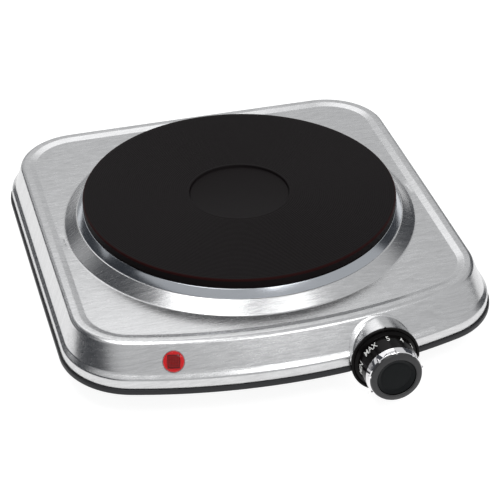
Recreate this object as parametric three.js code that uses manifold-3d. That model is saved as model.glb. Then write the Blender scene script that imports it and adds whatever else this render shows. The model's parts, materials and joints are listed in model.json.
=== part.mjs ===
// Single hot plate burner with a cast-iron plate, a control knob and a pilot lamp.
// Millimetres, +Z up, front towards -Y. The plate's axis stands at x = 0, y = 0 of the
// assembly, and the assembly is then moved so that the whole part is centred on the origin.
import * as THREE from 'three';
import { mergeVertices } from 'three/addons/utils/BufferGeometryUtils.js';
import Module from 'manifold-3d';

const wasm = await Module();
wasm.setup();

// ---------------------------------------------------------------- driving dimensions
const HALF_WIDTH = 116.5; // housing outline at its rim, measured to the side
const FRONT_REACH = 121.9; // from the plate axis to the front of the rim
const BACK_REACH = 119.9; // from the plate axis to the back of the rim
const SIDE_BOW = 0.4; // how far each edge of the outline bows out
const FRONT_BOW = 21.7;
const BACK_BOW = 0.4;
const FRONT_CORNER = 35.2; // corner radii of the outline
const BACK_CORNER = 36;
const TOP_HEIGHT = 56; // table to the top of the plate
const PANEL_HEIGHT = 39; // table to the flat top panel
const BEAD_RISE = 1.1; // raised bead along the rim
const BEAD_WIDTH = 9.5;
const SKIN = 0.8; // sheet thickness of the housing
const WALL_HEIGHT = 12.7; // sloped wall below the rim
const WALL_SPREAD = 4.2; // how far the wall runs out on its way down
const FRONT_SPREAD = 6; // what the front wall runs out beyond that
const LIP_STEP = 2.5; // step out and down to the upright lip
const LIP_DROP = 2.1;
const LIP_HEIGHT = 5;
const PLATE_RADIUS = 92.5;
const PLATE_EXPOSED = 5.9; // plate edge that stands above the trim ring
const PLATE_DEPTH = 12;
const RECESS_RADIUS = 29.4;
const RECESS_DEPTH = 1.6;
const TRIM_DROP = 4.8; // height of the steep trim band
const TRIM_SPREAD = 3.8;
const COLLAR_SPREAD = 7.4; // how far the collar cone runs out to the panel
const PAN_PROUD = 2.2; // the base pan stands out past the lip
const PAN_EDGE = 3.4; // height of its visible edge
const PAN_WALL = 1;
const VENT_WIDTH = 3.6; // two rows of heat slots in the pan
const VENT_LENGTH = 32;
const VENT_PITCH = 13;
const VENT_COUNT = 5; // slots in each row
const VENT_ROW = 66; // from the middle of the pan to the middle of a row
const PAN_INSET = 14; // the deeper floor starts this far inside the edge
const FOOT_HEIGHT = 8;
const FOOT_RADIUS = 8.5;
const FOOT_INSET_X = 43.5; // feet, measured in from the edge of the pan
const FOOT_INSET_FRONT = 44.5;
const FOOT_INSET_BACK = 41;
const KNOB_X = 45.9; // knob axis, at the front face of its skirt
const KNOB_HEIGHT = 21.2;
const KNOB_STANDOFF = 1.2; // skirt clear of the lip at the skirt's inner edge
const KNOB_TILT = 4 * Math.PI / 180;
const SKIRT_RADIUS = 19.7;
const SKIRT_THICK = 2;
const BARREL_RADIUS = 15.9;
const KNOB_LENGTH = 19.2;
const BOSS_RADIUS = 18;
const BOSS_DEPTH = 20; // how far the boss reaches back from its face
const LAMP_X = -69.2;
const LAMP_HEIGHT = 32.4;
const LAMP_RADIUS = 6.1;
const GLAND_X = 58;
const GLAND_HEIGHT = 28.4;
const GLAND_RADIUS = 6.3;
const CORD_RADIUS = 3.2; // bore of the gland
const STUD_RADIUS = 4;
const SPINDLE_RADIUS = 3;
const WIRE_RADIUS = 1.3;
const GAP = 0.3; // clearance between pieces that touch
const FAR = 200; // half-size of a cutting block that spans the whole part

// ---------------------------------------------------------------- heights worked out
const TRIM_TOP = TOP_HEIGHT - PLATE_EXPOSED;
const TRIM_FOOT = TRIM_TOP - TRIM_DROP;
const RIM_TOP = PANEL_HEIGHT + BEAD_RISE;
const WALL_TOP = RIM_TOP - 0.7;
const WALL_FOOT = WALL_TOP - WALL_HEIGHT;
const LIP_TOP = WALL_FOOT - LIP_DROP;
const LIP_FOOT = LIP_TOP - LIP_HEIGHT;
const LIP_OUT = WALL_SPREAD + LIP_STEP;
const PAN_TOP = LIP_FOOT - GAP;
const PAN_FOOT = PAN_TOP - PAN_EDGE;
const PAN_OUT = LIP_OUT + PAN_PROUD;
const FLOOR_UNDER = FOOT_HEIGHT + GAP;
const FLOOR_TOP = FLOOR_UNDER + PAN_WALL;
const PLATE_UNDER = TOP_HEIGHT - PLATE_DEPTH;
const TRIM_RADIUS = PLATE_RADIUS + TRIM_SPREAD;
const WAIST_RADIUS = PLATE_RADIUS - 3.5; // plate below its flange
const COLLAR_FOOT = TRIM_RADIUS + COLLAR_SPREAD;
const COLLAR_TOP = TRIM_FOOT - GAP;

// ---------------------------------------------------------------- mesh helpers
function clean(geometry) {
  // One closed body: shared corners merged, slivers of no area dropped, faces turned out.
  const bare = geometry.clone();
  bare.deleteAttribute('normal');
  bare.deleteAttribute('uv');
  const merged = mergeVertices(bare, 1e-5);
  const at = merged.attributes.position;
  const index = merged.index.array;
  const kept = [];
  let volume = 0;
  const a = new THREE.Vector3();
  const b = new THREE.Vector3();
  const c = new THREE.Vector3();
  for (let i = 0; i < index.length; i += 3) {
    const [p, q, r] = [index[i], index[i + 1], index[i + 2]];
    if (p === q || q === r || r === p) continue;
    kept.push(p, q, r);
    a.fromBufferAttribute(at, p);
    b.fromBufferAttribute(at, q);
    c.fromBufferAttribute(at, r);
    volume += a.dot(b.cross(c));
  }
  if (volume < 0) kept.reverse();
  merged.setIndex(kept);
  return merged;
}

function toSolid(geometry) {
  const ready = clean(geometry);
  const mesh = new wasm.Mesh({
    numProp: 3,
    vertProperties: new Float32Array(ready.attributes.position.array),
    triVerts: new Uint32Array(ready.index.array),
  });
  return new wasm.Manifold(mesh);
}

function toGeometry(solid) {
  const mesh = solid.getMesh();
  const geometry = new THREE.BufferGeometry();
  geometry.setAttribute('position', new THREE.BufferAttribute(mesh.vertProperties, 3));
  geometry.setIndex(new THREE.BufferAttribute(mesh.triVerts, 1));
  return geometry;
}

function cut(body, ...tools) {
  return toGeometry(tools.reduce((left, tool) => left.subtract(toSolid(tool)), toSolid(body)));
}

function join(...pieces) {
  return toGeometry(pieces.map(toSolid).reduce((whole, piece) => whole.add(piece)));
}

function ringBody(sections) {
  // Each section is a closed loop of points; the sections themselves close on the first.
  const count = sections.length;
  const points = sections[0].length;
  const position = sections.flat().flatMap((p) => [p.x, p.y, p.z]);
  const index = [];
  for (let i = 0; i < count; i++) {
    for (let j = 0; j < points; j++) {
      const a = i * points + j;
      const b = ((i + 1) % count) * points + j;
      const c = ((i + 1) % count) * points + ((j + 1) % points);
      const d = i * points + ((j + 1) % points);
      index.push(a, b, c, a, c, d);
    }
  }
  const geometry = new THREE.BufferGeometry();
  geometry.setAttribute('position', new THREE.Float32BufferAttribute(position, 3));
  geometry.setIndex(index);
  return geometry;
}

function cappedBody(rings) {
  // A stack of rings, closed by a fan at the middle of the first and of the last one.
  const count = rings[0].length;
  const middle = (ring) => new THREE.Vector3(0, 0, ring[0].z);
  const position = [...rings.flat(), middle(rings[0]), middle(rings.at(-1))];
  const index = [];
  for (let i = 0; i < rings.length - 1; i++) {
    for (let j = 0; j < count; j++) {
      const a = i * count + j;
      const b = i * count + ((j + 1) % count);
      index.push(a, b, b + count, a, b + count, a + count);
    }
  }
  const first = rings.length * count;
  for (let j = 0; j < count; j++) {
    const k = (j + 1) % count;
    index.push(first, k, j);
    index.push(first + 1, first - count + j, first - count + k);
  }
  const geometry = new THREE.BufferGeometry();
  const flat = position.flatMap((p) => [p.x, p.y, p.z]);
  geometry.setAttribute('position', new THREE.Float32BufferAttribute(flat, 3));
  geometry.setIndex(index);
  return geometry;
}

function lathe(profile, segments = 32) {
  // The profile holds [radius, height] pairs, from the lower axis point outwards and up.
  const points = profile.map(([r, h]) => new THREE.Vector2(r, h));
  return new THREE.LatheGeometry(points, segments).rotateX(Math.PI / 2);
}

function ring(inner, outer, low, high, segments = 32) {
  return lathe([[inner, low], [outer, low], [outer, high], [inner, high], [inner, low]], segments);
}

function rod(radius, low, high, segments = 16) {
  return lathe([[0, low], [radius, low], [radius, high], [0, high]], segments);
}

function box(x0, x1, y0, y1, z0, z1) {
  const geometry = new THREE.BoxGeometry(x1 - x0, y1 - y0, z1 - z0);
  return geometry.translate((x0 + x1) / 2, (y0 + y1) / 2, (z0 + z1) / 2);
}

function tube(points, radius = WIRE_RADIUS, sides = 8) {
  const path = new THREE.CatmullRomCurve3(points.map((p) => new THREE.Vector3(...p)));
  const section = new THREE.Shape();
  section.absarc(0, 0, radius, 0, 2 * Math.PI);
  const steps = Math.ceil(path.getLength() / (6 * radius));
  return new THREE.ExtrudeGeometry(section, { curveSegments: sides / 2, steps, extrudePath: path });
}

// ---------------------------------------------------------------- the housing outline
const ARC_STEPS = [3, 7, 3]; // points along half a side, a corner and half an end

function quarter(reach, bow, corner, grow) {
  // A quarter of the outline, from the side to the end: side arc, corner arc, end arc,
  // each tangent to the next. Distances run from the middle of the outline.
  const sideRadius = (reach * reach + SIDE_BOW * SIDE_BOW) / (2 * SIDE_BOW);
  const endRadius = (HALF_WIDTH * HALF_WIDTH + bow * bow) / (2 * bow);
  const side = new THREE.Vector2(HALF_WIDTH - sideRadius, 0);
  const end = new THREE.Vector2(0, reach - endRadius);
  const link = end.clone().sub(side);
  const length = link.length();
  const toSide = sideRadius - corner;
  const toEnd = endRadius - corner;
  const along = (toSide * toSide - toEnd * toEnd + length * length) / (2 * length);
  const aside = Math.sqrt(Math.max(toSide * toSide - along * along, 0));
  const unit = link.normalize();
  const normal = new THREE.Vector2(-unit.y, unit.x);
  const bend = side.clone().addScaledVector(unit, along).addScaledVector(normal, aside);
  const turnA = Math.atan2(bend.y - side.y, bend.x - side.x);
  const turnB = Math.atan2(bend.y - end.y, bend.x - end.x);
  const arcs = [
    [side, sideRadius, 0, turnA],
    [bend, corner, turnA, turnB],
    [end, endRadius, turnB, Math.PI / 2],
  ];
  return arcs.flatMap(([centre, radius, from, to], n) => {
    const points = [];
    for (let i = 0; i < ARC_STEPS[n]; i++) {
      const turn = from + ((to - from) * i) / ARC_STEPS[n];
      const out = radius + grow;
      points.push([centre.x + out * Math.cos(turn), centre.y + out * Math.sin(turn)]);
    }
    return points;
  });
}

function outline(grow, frontShare = 0) {
  // The rounded outline grown outwards, with part of the front wall's extra spread.
  const front = FRONT_REACH + frontShare * FRONT_SPREAD;
  const middle = (BACK_REACH - front) / 2;
  const half = (BACK_REACH + front) / 2;
  const back = quarter(half, BACK_BOW, BACK_CORNER, grow);
  const fore = quarter(half, FRONT_BOW, FRONT_CORNER, grow);
  const mirrored = (points, sx, sy) => points.map(([x, y]) => [x * sx, y * sy]);
  const endMiddle = [0, half + grow];
  const sideMiddle = [-HALF_WIDTH - grow, 0];
  const backwards = (points) => [...points.slice(1), endMiddle].reverse();
  const loop = [
    ...back,
    ...mirrored(backwards(back), -1, 1),
    sideMiddle,
    ...mirrored(fore.slice(1), -1, -1),
    ...mirrored(backwards(fore), 1, -1),
  ];
  return loop.map(([x, y]) => new THREE.Vector2(x, y + middle));
}

function outlineRing(grow, height, frontShare = 0) {
  return outline(grow, frontShare).map((p) => new THREE.Vector3(p.x, p.y, height));
}

const DIRECTIONS = outline(0).map((p) => Math.atan2(p.y, p.x));

function circleRing(radius, height) {
  const at = (turn) => [radius * Math.cos(turn), radius * Math.sin(turn), height];
  return DIRECTIONS.map((turn) => new THREE.Vector3(...at(turn)));
}

function crosswise(rings) {
  return rings[0].map((_, i) => rings.map((one) => one[i]));
}

function endWall(x, height, side, below = 0) {
  // A point on the front (side -1) or back (side 1) wall, `below` the outer surface.
  const share = (WALL_TOP - height) / WALL_HEIGHT;
  const grow = WALL_SPREAD * share - below;
  const bow = side < 0 ? FRONT_BOW : BACK_BOW;
  const reach = side < 0 ? FRONT_REACH + share * FRONT_SPREAD : BACK_REACH;
  const radius = (HALF_WIDTH * HALF_WIDTH + bow * bow) / (2 * bow) + grow;
  const depth = reach + grow - (radius - Math.sqrt(radius * radius - x * x));
  return new THREE.Vector3(x, side * depth, height);
}

function wallFrame(x, height, side) {
  // Local +Z points out of the wall, local +X along it and local +Y up the slope.
  const origin = endWall(x, height, side);
  const up = endWall(x, height + 1, side).sub(origin);
  const right = endWall(x + 1, height, side).sub(origin).multiplyScalar(-side).normalize();
  const out = right.clone().cross(up).normalize();
  const rise = out.clone().cross(right);
  return new THREE.Matrix4().makeBasis(right, rise, out).setPosition(origin);
}

const LAMP_FRAME = wallFrame(LAMP_X, LAMP_HEIGHT, -1);
const GLAND_FRAME = new THREE.Matrix4()
  .makeRotationX(-Math.PI / 2)
  .setPosition(endWall(GLAND_X, GLAND_HEIGHT, 1));

function lipFront(x) {
  // Where the front of the lip stands at this x.
  const radius = (HALF_WIDTH ** 2 + FRONT_BOW ** 2) / (2 * FRONT_BOW) + LIP_OUT;
  return FRONT_REACH + FRONT_SPREAD + LIP_OUT - (radius - Math.sqrt(radius * radius - x * x));
}

// The control's own frame: origin on the knob axis at the skirt's front face, local +Z
// along the axis towards the user, so depths behind the skirt are negative.
const KNOB_Y = -lipFront(KNOB_X - SKIRT_RADIUS) - KNOB_STANDOFF - SKIRT_THICK;
const CONTROL_FRAME = new THREE.Matrix4()
  .makeRotationX(Math.PI / 2 - KNOB_TILT)
  .setPosition(KNOB_X, KNOB_Y, KNOB_HEIGHT);
const BOSS_FACE = -SKIRT_THICK - GAP - 0.1;

const framed = (geometry, frame) => geometry.clone().applyMatrix4(frame);

// ---------------------------------------------------------------- finishes
function finish(color, roughness, metalness) {
  return new THREE.MeshStandardMaterial({ color, roughness, metalness });
}

const STEEL = finish('#b9babb', 0.35, 1);
const BLACK_PAINT = finish('#26262a', 0.55, 0.2);
const IRON = finish('#2a2526', 0.6, 0.5);
const CHROME = finish('#d8d8da', 0.12, 1);
const BLACK_PLASTIC = finish('#141414', 0.25, 0);
const RUBBER = finish('#1c1c1c', 0.9, 0);
const RED_GLASS = finish('#c0101a', 0.2, 0);
const CERAMIC = finish('#e4ddcc', 0.7, 0);
const ZINC = finish('#a5a8aa', 0.45, 1);
const BRASS = finish('#b08d48', 0.35, 1);
const WHITE_PLASTIC = finish('#dcdcd4', 0.5, 0);
const GLASS = finish('#d8c8b0', 0.1, 0);
const wireFinish = (color) => finish(color, 0.5, 0);

const assembly = new THREE.Group();

function add(name, geometry, material, frame) {
  const mesh = new THREE.Mesh(clean(geometry), material.clone());
  mesh.name = name;
  if (frame) mesh.applyMatrix4(frame);
  assembly.add(mesh);
}

// ---------------------------------------------------------------- housing and base
const SPINDLE_HOLE = SPINDLE_RADIUS + 0.8;
const FRAME_HALF = BOSS_RADIUS - 4.2; // half-width of the thermostat's front plate
const SCREW_SPREAD = FRAME_HALF - 4;
const SCREW_RADIUS = 1.3;
const LAMP_STEM = LAMP_RADIUS - 1.5;
const GLAND_STEM = GLAND_RADIUS - 1.6;
const POST_RADIUS = 3.6;
const SCREW_HEAD = SCREW_RADIUS + 1.4;
const HEAD_DEPTH = 1.6;

function housingSkin() {
  const outer = [
    circleRing(WAIST_RADIUS + 1, COLLAR_TOP),
    circleRing(TRIM_RADIUS - 0.6, COLLAR_TOP),
    circleRing(TRIM_RADIUS + 0.2, COLLAR_TOP - 0.5),
    circleRing(COLLAR_FOOT - 1, PANEL_HEIGHT + 0.5),
    circleRing(COLLAR_FOOT + 0.4, PANEL_HEIGHT),
    outlineRing(-BEAD_WIDTH, PANEL_HEIGHT),
    outlineRing(-BEAD_WIDTH + 3, PANEL_HEIGHT + 0.4 * BEAD_RISE),
    outlineRing(-3, RIM_TOP),
    outlineRing(-0.8, RIM_TOP - 0.1),
    outlineRing(0, WALL_TOP),
    outlineRing(WALL_SPREAD, WALL_FOOT, 1),
    outlineRing(LIP_OUT, LIP_TOP, 1),
    outlineRing(LIP_OUT, LIP_FOOT, 1),
  ];
  const inner = [
    outlineRing(LIP_OUT - SKIN, LIP_FOOT, 1),
    outlineRing(LIP_OUT - SKIN, LIP_TOP, 1),
    outlineRing(WALL_SPREAD - SKIN, WALL_FOOT, 1),
    outlineRing(-SKIN, WALL_TOP - 0.5 * SKIN),
    outlineRing(-3, RIM_TOP - SKIN),
    outlineRing(-BEAD_WIDTH + 3, PANEL_HEIGHT + 0.4 * BEAD_RISE - SKIN),
    outlineRing(-BEAD_WIDTH, PANEL_HEIGHT - SKIN),
    circleRing(COLLAR_FOOT + 0.4, PANEL_HEIGHT - SKIN),
    circleRing(COLLAR_FOOT - 1.4, PANEL_HEIGHT + 0.4 - SKIN),
    circleRing(TRIM_RADIUS - 0.6, COLLAR_TOP - SKIN),
    circleRing(WAIST_RADIUS + 1, COLLAR_TOP - SKIN),
  ];
  return ringBody(crosswise([...outer, ...inner]));
}

function housingBlock(grow) {
  // The room inside the walls, or the walls' outer shape: it trims what meets them.
  return cappedBody([
    outlineRing(LIP_OUT + grow, PAN_FOOT - 5, 1),
    outlineRing(LIP_OUT + grow, LIP_TOP, 1),
    outlineRing(WALL_SPREAD + grow, WALL_FOOT, 1),
    outlineRing(grow, WALL_TOP + 0.5 * Math.min(grow, 0)),
  ]);
}

function bossShell() {
  const back = BOSS_FACE - BOSS_DEPTH;
  const edge = 0.8;
  const draft = 0.5;
  const outer = lathe([
    [0, back],
    [BOSS_RADIUS + draft, back],
    [BOSS_RADIUS, BOSS_FACE - edge],
    [BOSS_RADIUS - edge, BOSS_FACE],
    [0, BOSS_FACE],
  ], 28);
  const inner = rod(BOSS_RADIUS - 1, back - 1, BOSS_FACE - SKIN, 28);
  const holes = [rod(SPINDLE_HOLE, BOSS_FACE - 2, BOSS_FACE + 1)];
  for (const side of [-1, 1]) {
    const hole = rod(SCREW_RADIUS + GAP, BOSS_FACE - 2, BOSS_FACE + 1, 12);
    holes.push(hole.translate(side * SCREW_SPREAD, 0, 0));
  }
  return framed(cut(outer, inner, ...holes), CONTROL_FRAME);
}

function housing() {
  const under = box(-FAR, FAR, -FAR, FAR, -FAR, PAN_FOOT + PAN_WALL + GAP);
  const boss = cut(bossShell(), housingBlock(-SKIN), under);
  const mouthDepth = endWall(KNOB_X, WALL_TOP, -1).y - KNOB_Y + 2;
  const mouth = framed(rod(BOSS_RADIUS - 1, -mouthDepth, BOSS_FACE - SKIN, 28), CONTROL_FRAME);
  const lampHole = framed(rod(LAMP_STEM + GAP, -6, 3, 24), LAMP_FRAME);
  const glandHole = framed(rod(GLAND_STEM + GAP, -6, 8, 24), GLAND_FRAME);
  const skin = cut(housingSkin(), mouth, lampHole, glandHole);
  add('housing', join(skin, boss), STEEL);
}

const PAN_MIDDLE = (BACK_REACH - FRONT_REACH - FRONT_SPREAD) / 2;
const FEET = [];
for (const [xName, xSign] of [['left', -1], ['right', 1]]) {
  for (const [yName, y] of [
    ['front', -(FRONT_REACH + FRONT_SPREAD + PAN_OUT - FOOT_INSET_FRONT)],
    ['back', BACK_REACH + PAN_OUT - FOOT_INSET_BACK],
  ]) {
    FEET.push({ name: `${yName}_${xName}`, x: xSign * (HALF_WIDTH + PAN_OUT - FOOT_INSET_X), y });
  }
}

function ventSlots() {
  const slots = [];
  for (let i = 0; i < VENT_COUNT; i++) {
    const x = (i - (VENT_COUNT - 1) / 2) * VENT_PITCH;
    for (const side of [-1, 1]) {
      const slot = box(-VENT_WIDTH / 2, VENT_WIDTH / 2, -VENT_LENGTH / 2, VENT_LENGTH / 2, 0, FLOOR_TOP + 1);
      slots.push(slot.translate(x, PAN_MIDDLE + side * VENT_ROW, 0));
    }
  }
  return slots;
}

function basePan() {
  const spigot = LIP_OUT - SKIN - GAP;
  const edge = PAN_OUT - PAN_INSET;
  const tray = cappedBody([
    outlineRing(edge, FLOOR_UNDER, 1),
    outlineRing(edge + 5, PAN_FOOT, 1),
    outlineRing(PAN_OUT, PAN_FOOT, 1),
    outlineRing(PAN_OUT - 0.4, PAN_TOP, 1),
    outlineRing(spigot, PAN_TOP, 1),
    outlineRing(spigot, PAN_TOP + 3, 1),
    outlineRing(spigot - PAN_WALL, PAN_TOP + 3, 1),
    outlineRing(spigot - PAN_WALL, PAN_FOOT + PAN_WALL, 1),
    outlineRing(edge + 4, PAN_FOOT + PAN_WALL, 1),
    outlineRing(edge - 1, FLOOR_TOP, 1),
  ]);
  const bossWay = framed(rod(BOSS_RADIUS + 0.5 + GAP, -PAN_INSET, 1, 28), CONTROL_FRAME);
  const aboveFlange = cut(bossWay, box(-FAR, FAR, -FAR, FAR, -FAR, PAN_FOOT + PAN_WALL));
  const skirtWay = framed(rod(SKIRT_RADIUS + 1, -SKIRT_THICK - GAP, SKIRT_THICK, 28), CONTROL_FRAME);
  const screwHole = (foot) => rod(SCREW_RADIUS + GAP, 0, FAR, 12).translate(foot.x, foot.y, 0);
  const pan = cut(tray, aboveFlange, skirtWay, ...FEET.map(screwHole), ...ventSlots());
  add('base_pan', pan, BLACK_PAINT);
}

function feetAndPosts() {
  const headTop = 3.4;
  const screwTop = 22;
  const bore = SCREW_RADIUS + GAP;
  const cup = SCREW_HEAD + 0.7;
  for (const { name, x, y } of FEET) {
    const at = new THREE.Matrix4().makeTranslation(x, y, 0);
    const foot = lathe([
      [cup, 0], [FOOT_RADIUS - 1, 0], [FOOT_RADIUS, 1], [FOOT_RADIUS - 0.8, FOOT_HEIGHT],
      [bore, FOOT_HEIGHT], [bore, headTop + GAP], [cup, headTop + GAP], [cup, 0],
    ], 16);
    add(`foot_${name}`, foot, RUBBER, at);
    const screw = lathe([
      [0, headTop - HEAD_DEPTH], [SCREW_HEAD, headTop - HEAD_DEPTH], [SCREW_HEAD, headTop],
      [SCREW_RADIUS, headTop], [SCREW_RADIUS, screwTop], [0, screwTop],
    ], 10);
    add(`base_screw_${name}`, screw, ZINC, at);
    const post = ring(bore, POST_RADIUS, FLOOR_TOP + GAP, PANEL_HEIGHT - SKIN - GAP, 12);
    add(`housing_post_${name}`, post, ZINC, at);
  }
}

// ---------------------------------------------------------------- plate
const GROOVE_TOP = PLATE_UNDER + 5.2;
const GROOVE_IN = 42;
const GROOVE_OUT = WAIST_RADIUS - 9;
const COIL_RADIUS = 2.1;
const COIL_TURNS = { inner: GROOVE_IN + 8, outer: GROOVE_OUT - 9 };
const PLATE_BOSS = 11;
const BOSS_UNDER = PLATE_UNDER - 6;
const STUD_TOP = TOP_HEIGHT - RECESS_DEPTH - 3;
const BAR_TOP = BOSS_UNDER - GAP;
const BAR_THICK = 2.5;
const BAR_WIDTH = 18;
const WASHER_THICK = 1.5;
const NUT_THICK = 5.5;
const NUT_TOP = BAR_TOP - BAR_THICK - WASHER_THICK - 2 * GAP;

function plate() {
  const under = TRIM_TOP + GAP;
  add('hotplate', lathe([
    [0, STUD_TOP], [STUD_RADIUS + GAP, STUD_TOP], [STUD_RADIUS + GAP, BOSS_UNDER],
    [PLATE_BOSS, BOSS_UNDER], [PLATE_BOSS + 1, PLATE_UNDER],
    [GROOVE_IN, PLATE_UNDER], [GROOVE_IN, GROOVE_TOP], [GROOVE_OUT, GROOVE_TOP], [GROOVE_OUT, PLATE_UNDER],
    [WAIST_RADIUS - 1, PLATE_UNDER], [WAIST_RADIUS, PLATE_UNDER + 1], [WAIST_RADIUS, under],
    [PLATE_RADIUS, under], [PLATE_RADIUS, TOP_HEIGHT - 0.8], [PLATE_RADIUS - 0.8, TOP_HEIGHT],
    [RECESS_RADIUS + 0.6, TOP_HEIGHT], [RECESS_RADIUS, TOP_HEIGHT - RECESS_DEPTH],
    [0, TOP_HEIGHT - RECESS_DEPTH],
  ], 40), IRON);
  const sheet = 0.6;
  const hold = WAIST_RADIUS + GAP;
  add('trim_ring', lathe([
    [hold, TRIM_TOP - sheet], [PLATE_RADIUS - 0.9, TRIM_TOP - sheet], [TRIM_RADIUS - sheet, TRIM_FOOT],
    [TRIM_RADIUS, TRIM_FOOT], [PLATE_RADIUS - 0.1, TRIM_TOP], [hold, TRIM_TOP], [hold, TRIM_TOP - sheet],
  ], 40), CHROME);
  for (const [name, radius] of Object.entries(COIL_TURNS)) {
    const coil = new THREE.TorusGeometry(radius, COIL_RADIUS, 6, 32);
    add(`heating_coil_${name}`, coil.translate(0, 0, GROOVE_TOP - COIL_RADIUS - GAP), ZINC);
  }
  const cementTop = GROOVE_TOP - 2 * COIL_RADIUS - 2 * GAP;
  add('coil_cement', ring(GROOVE_IN + GAP, GROOVE_OUT - GAP, PLATE_UNDER - 0.6, cementTop, 36), CERAMIC);
  const coverIn = PLATE_BOSS + 2;
  const coverOut = WAIST_RADIUS - 3;
  const coverFoot = PLATE_UNDER - 2;
  const coverSheet = 0.7;
  add('plate_cover', lathe([
    [coverIn, coverFoot], [coverOut, coverFoot], [coverOut, PLATE_UNDER - GAP],
    [coverOut - coverSheet, PLATE_UNDER - GAP], [coverOut - coverSheet, coverFoot + coverSheet],
    [coverIn, coverFoot + coverSheet], [coverIn, coverFoot],
  ], 32), ZINC);
}

function clamp() {
  add('centre_stud', rod(STUD_RADIUS, NUT_TOP - NUT_THICK - 2, STUD_TOP - GAP, 20), ZINC);
  const end = COLLAR_FOOT + 3;
  const rise = PANEL_HEIGHT - SKIN - GAP;
  const bend = WAIST_RADIUS + 3;
  const run = 6; // each end ramps up to the panel over this length
  const right = [
    [bend - run, BAR_TOP - BAR_THICK], [bend, rise - BAR_THICK], [end, rise - BAR_THICK],
    [end, rise], [bend - 1, rise], [bend - 1 - run, BAR_TOP],
  ];
  const left = right.map(([x, z]) => [-x, z]).reverse();
  const side = new THREE.Shape([...right, ...left].map(([x, z]) => new THREE.Vector2(x, z)));
  const bar = new THREE.ExtrudeGeometry(side, { depth: BAR_WIDTH, bevelEnabled: false });
  bar.rotateX(Math.PI / 2).translate(0, BAR_WIDTH / 2, 0);
  add('clamp_bar', cut(bar, rod(STUD_RADIUS + GAP, BAR_TOP - 6, BAR_TOP + 3, 20)), ZINC);
  const washerTop = BAR_TOP - BAR_THICK - GAP;
  const washer = ring(STUD_RADIUS + GAP, STUD_RADIUS + 5, washerTop - WASHER_THICK, washerTop, 20);
  add('centre_washer', washer, ZINC);
  const hexagon = rod(STUD_RADIUS + 3.5, NUT_TOP - NUT_THICK, NUT_TOP, 6);
  const thread = rod(STUD_RADIUS + GAP, NUT_TOP - NUT_THICK - 1, NUT_TOP + 1, 20);
  add('centre_nut', cut(hexagon, thread), ZINC);
}

const PIN_X = -30;
const PIN_Y = -26;
const PIN_PITCH = 9;
const BLOCK_TOP = PLATE_UNDER - 2 - GAP;
const BLOCK_DEPTH = 6;
const PIN_FOOT = BLOCK_TOP - BLOCK_DEPTH - 5;
const SHIELD_TOP = BAR_TOP - BAR_THICK - 1;

function barRoom() {
  // Room for the clamp bar's middle, which passes through the shield's plane.
  const half = STUD_RADIUS + 9;
  return box(-half, half, -BAR_WIDTH / 2, BAR_WIDTH / 2, SHIELD_TOP - 3, SHIELD_TOP + 0.2);
}

function terminals() {
  const reach = 1.5 * PIN_PITCH + 1;
  const depth = 5;
  const pinWidth = 2.1;
  const pinThick = 0.4;
  const blank = box(-reach, reach, -depth, depth, BLOCK_TOP - BLOCK_DEPTH, BLOCK_TOP);
  const slots = [];
  for (const [i, name] of ['left', 'middle', 'right'].entries()) {
    const x = PIN_X + (i - 1) * PIN_PITCH;
    const blade = (grow, low, high) => box(
      x - pinWidth - grow, x + pinWidth + grow, PIN_Y - pinThick - grow, PIN_Y + pinThick + grow, low, high,
    );
    slots.push(blade(GAP, 0, FAR));
    add(`terminal_pin_${name}`, blade(0, PIN_FOOT, BLOCK_TOP - GAP), BRASS);
  }
  add('terminal_ceramic', cut(blank.translate(PIN_X, PIN_Y, 0), ...slots), CERAMIC);
  const gate = box(-reach - 2, reach + 2, -depth - 2, depth + 2, 0, FAR).translate(PIN_X, PIN_Y, 0);
  const shieldIn = STUD_RADIUS + 8;
  const shieldOut = WAIST_RADIUS - 9;
  const shieldFoot = SHIELD_TOP - 0.8;
  const shield = lathe([
    [shieldIn, shieldFoot], [shieldOut - 3, shieldFoot], [shieldOut, SHIELD_TOP + 1],
    [shieldOut - 1, SHIELD_TOP + 1], [shieldOut - 3.4, SHIELD_TOP], [shieldIn, SHIELD_TOP],
    [shieldIn, shieldFoot],
  ], 32);
  add('heat_shield', cut(shield, gate, barRoom()), ZINC);
}

housing();
basePan();
feetAndPosts();
plate();
clamp();
terminals();

// ---------------------------------------------------------------- knob
const HUB_RADIUS = 5;
const CAP_RADIUS = 11;
const RING_LENGTH = 6;
const RING_THICK = 1.8;
const RING_TAPER = 1; // the ring narrows towards the user
const RECESS_FRONT = KNOB_LENGTH - 1.2;
const BORE_END = 11.5; // depth of the spindle's bore in the hub

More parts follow.
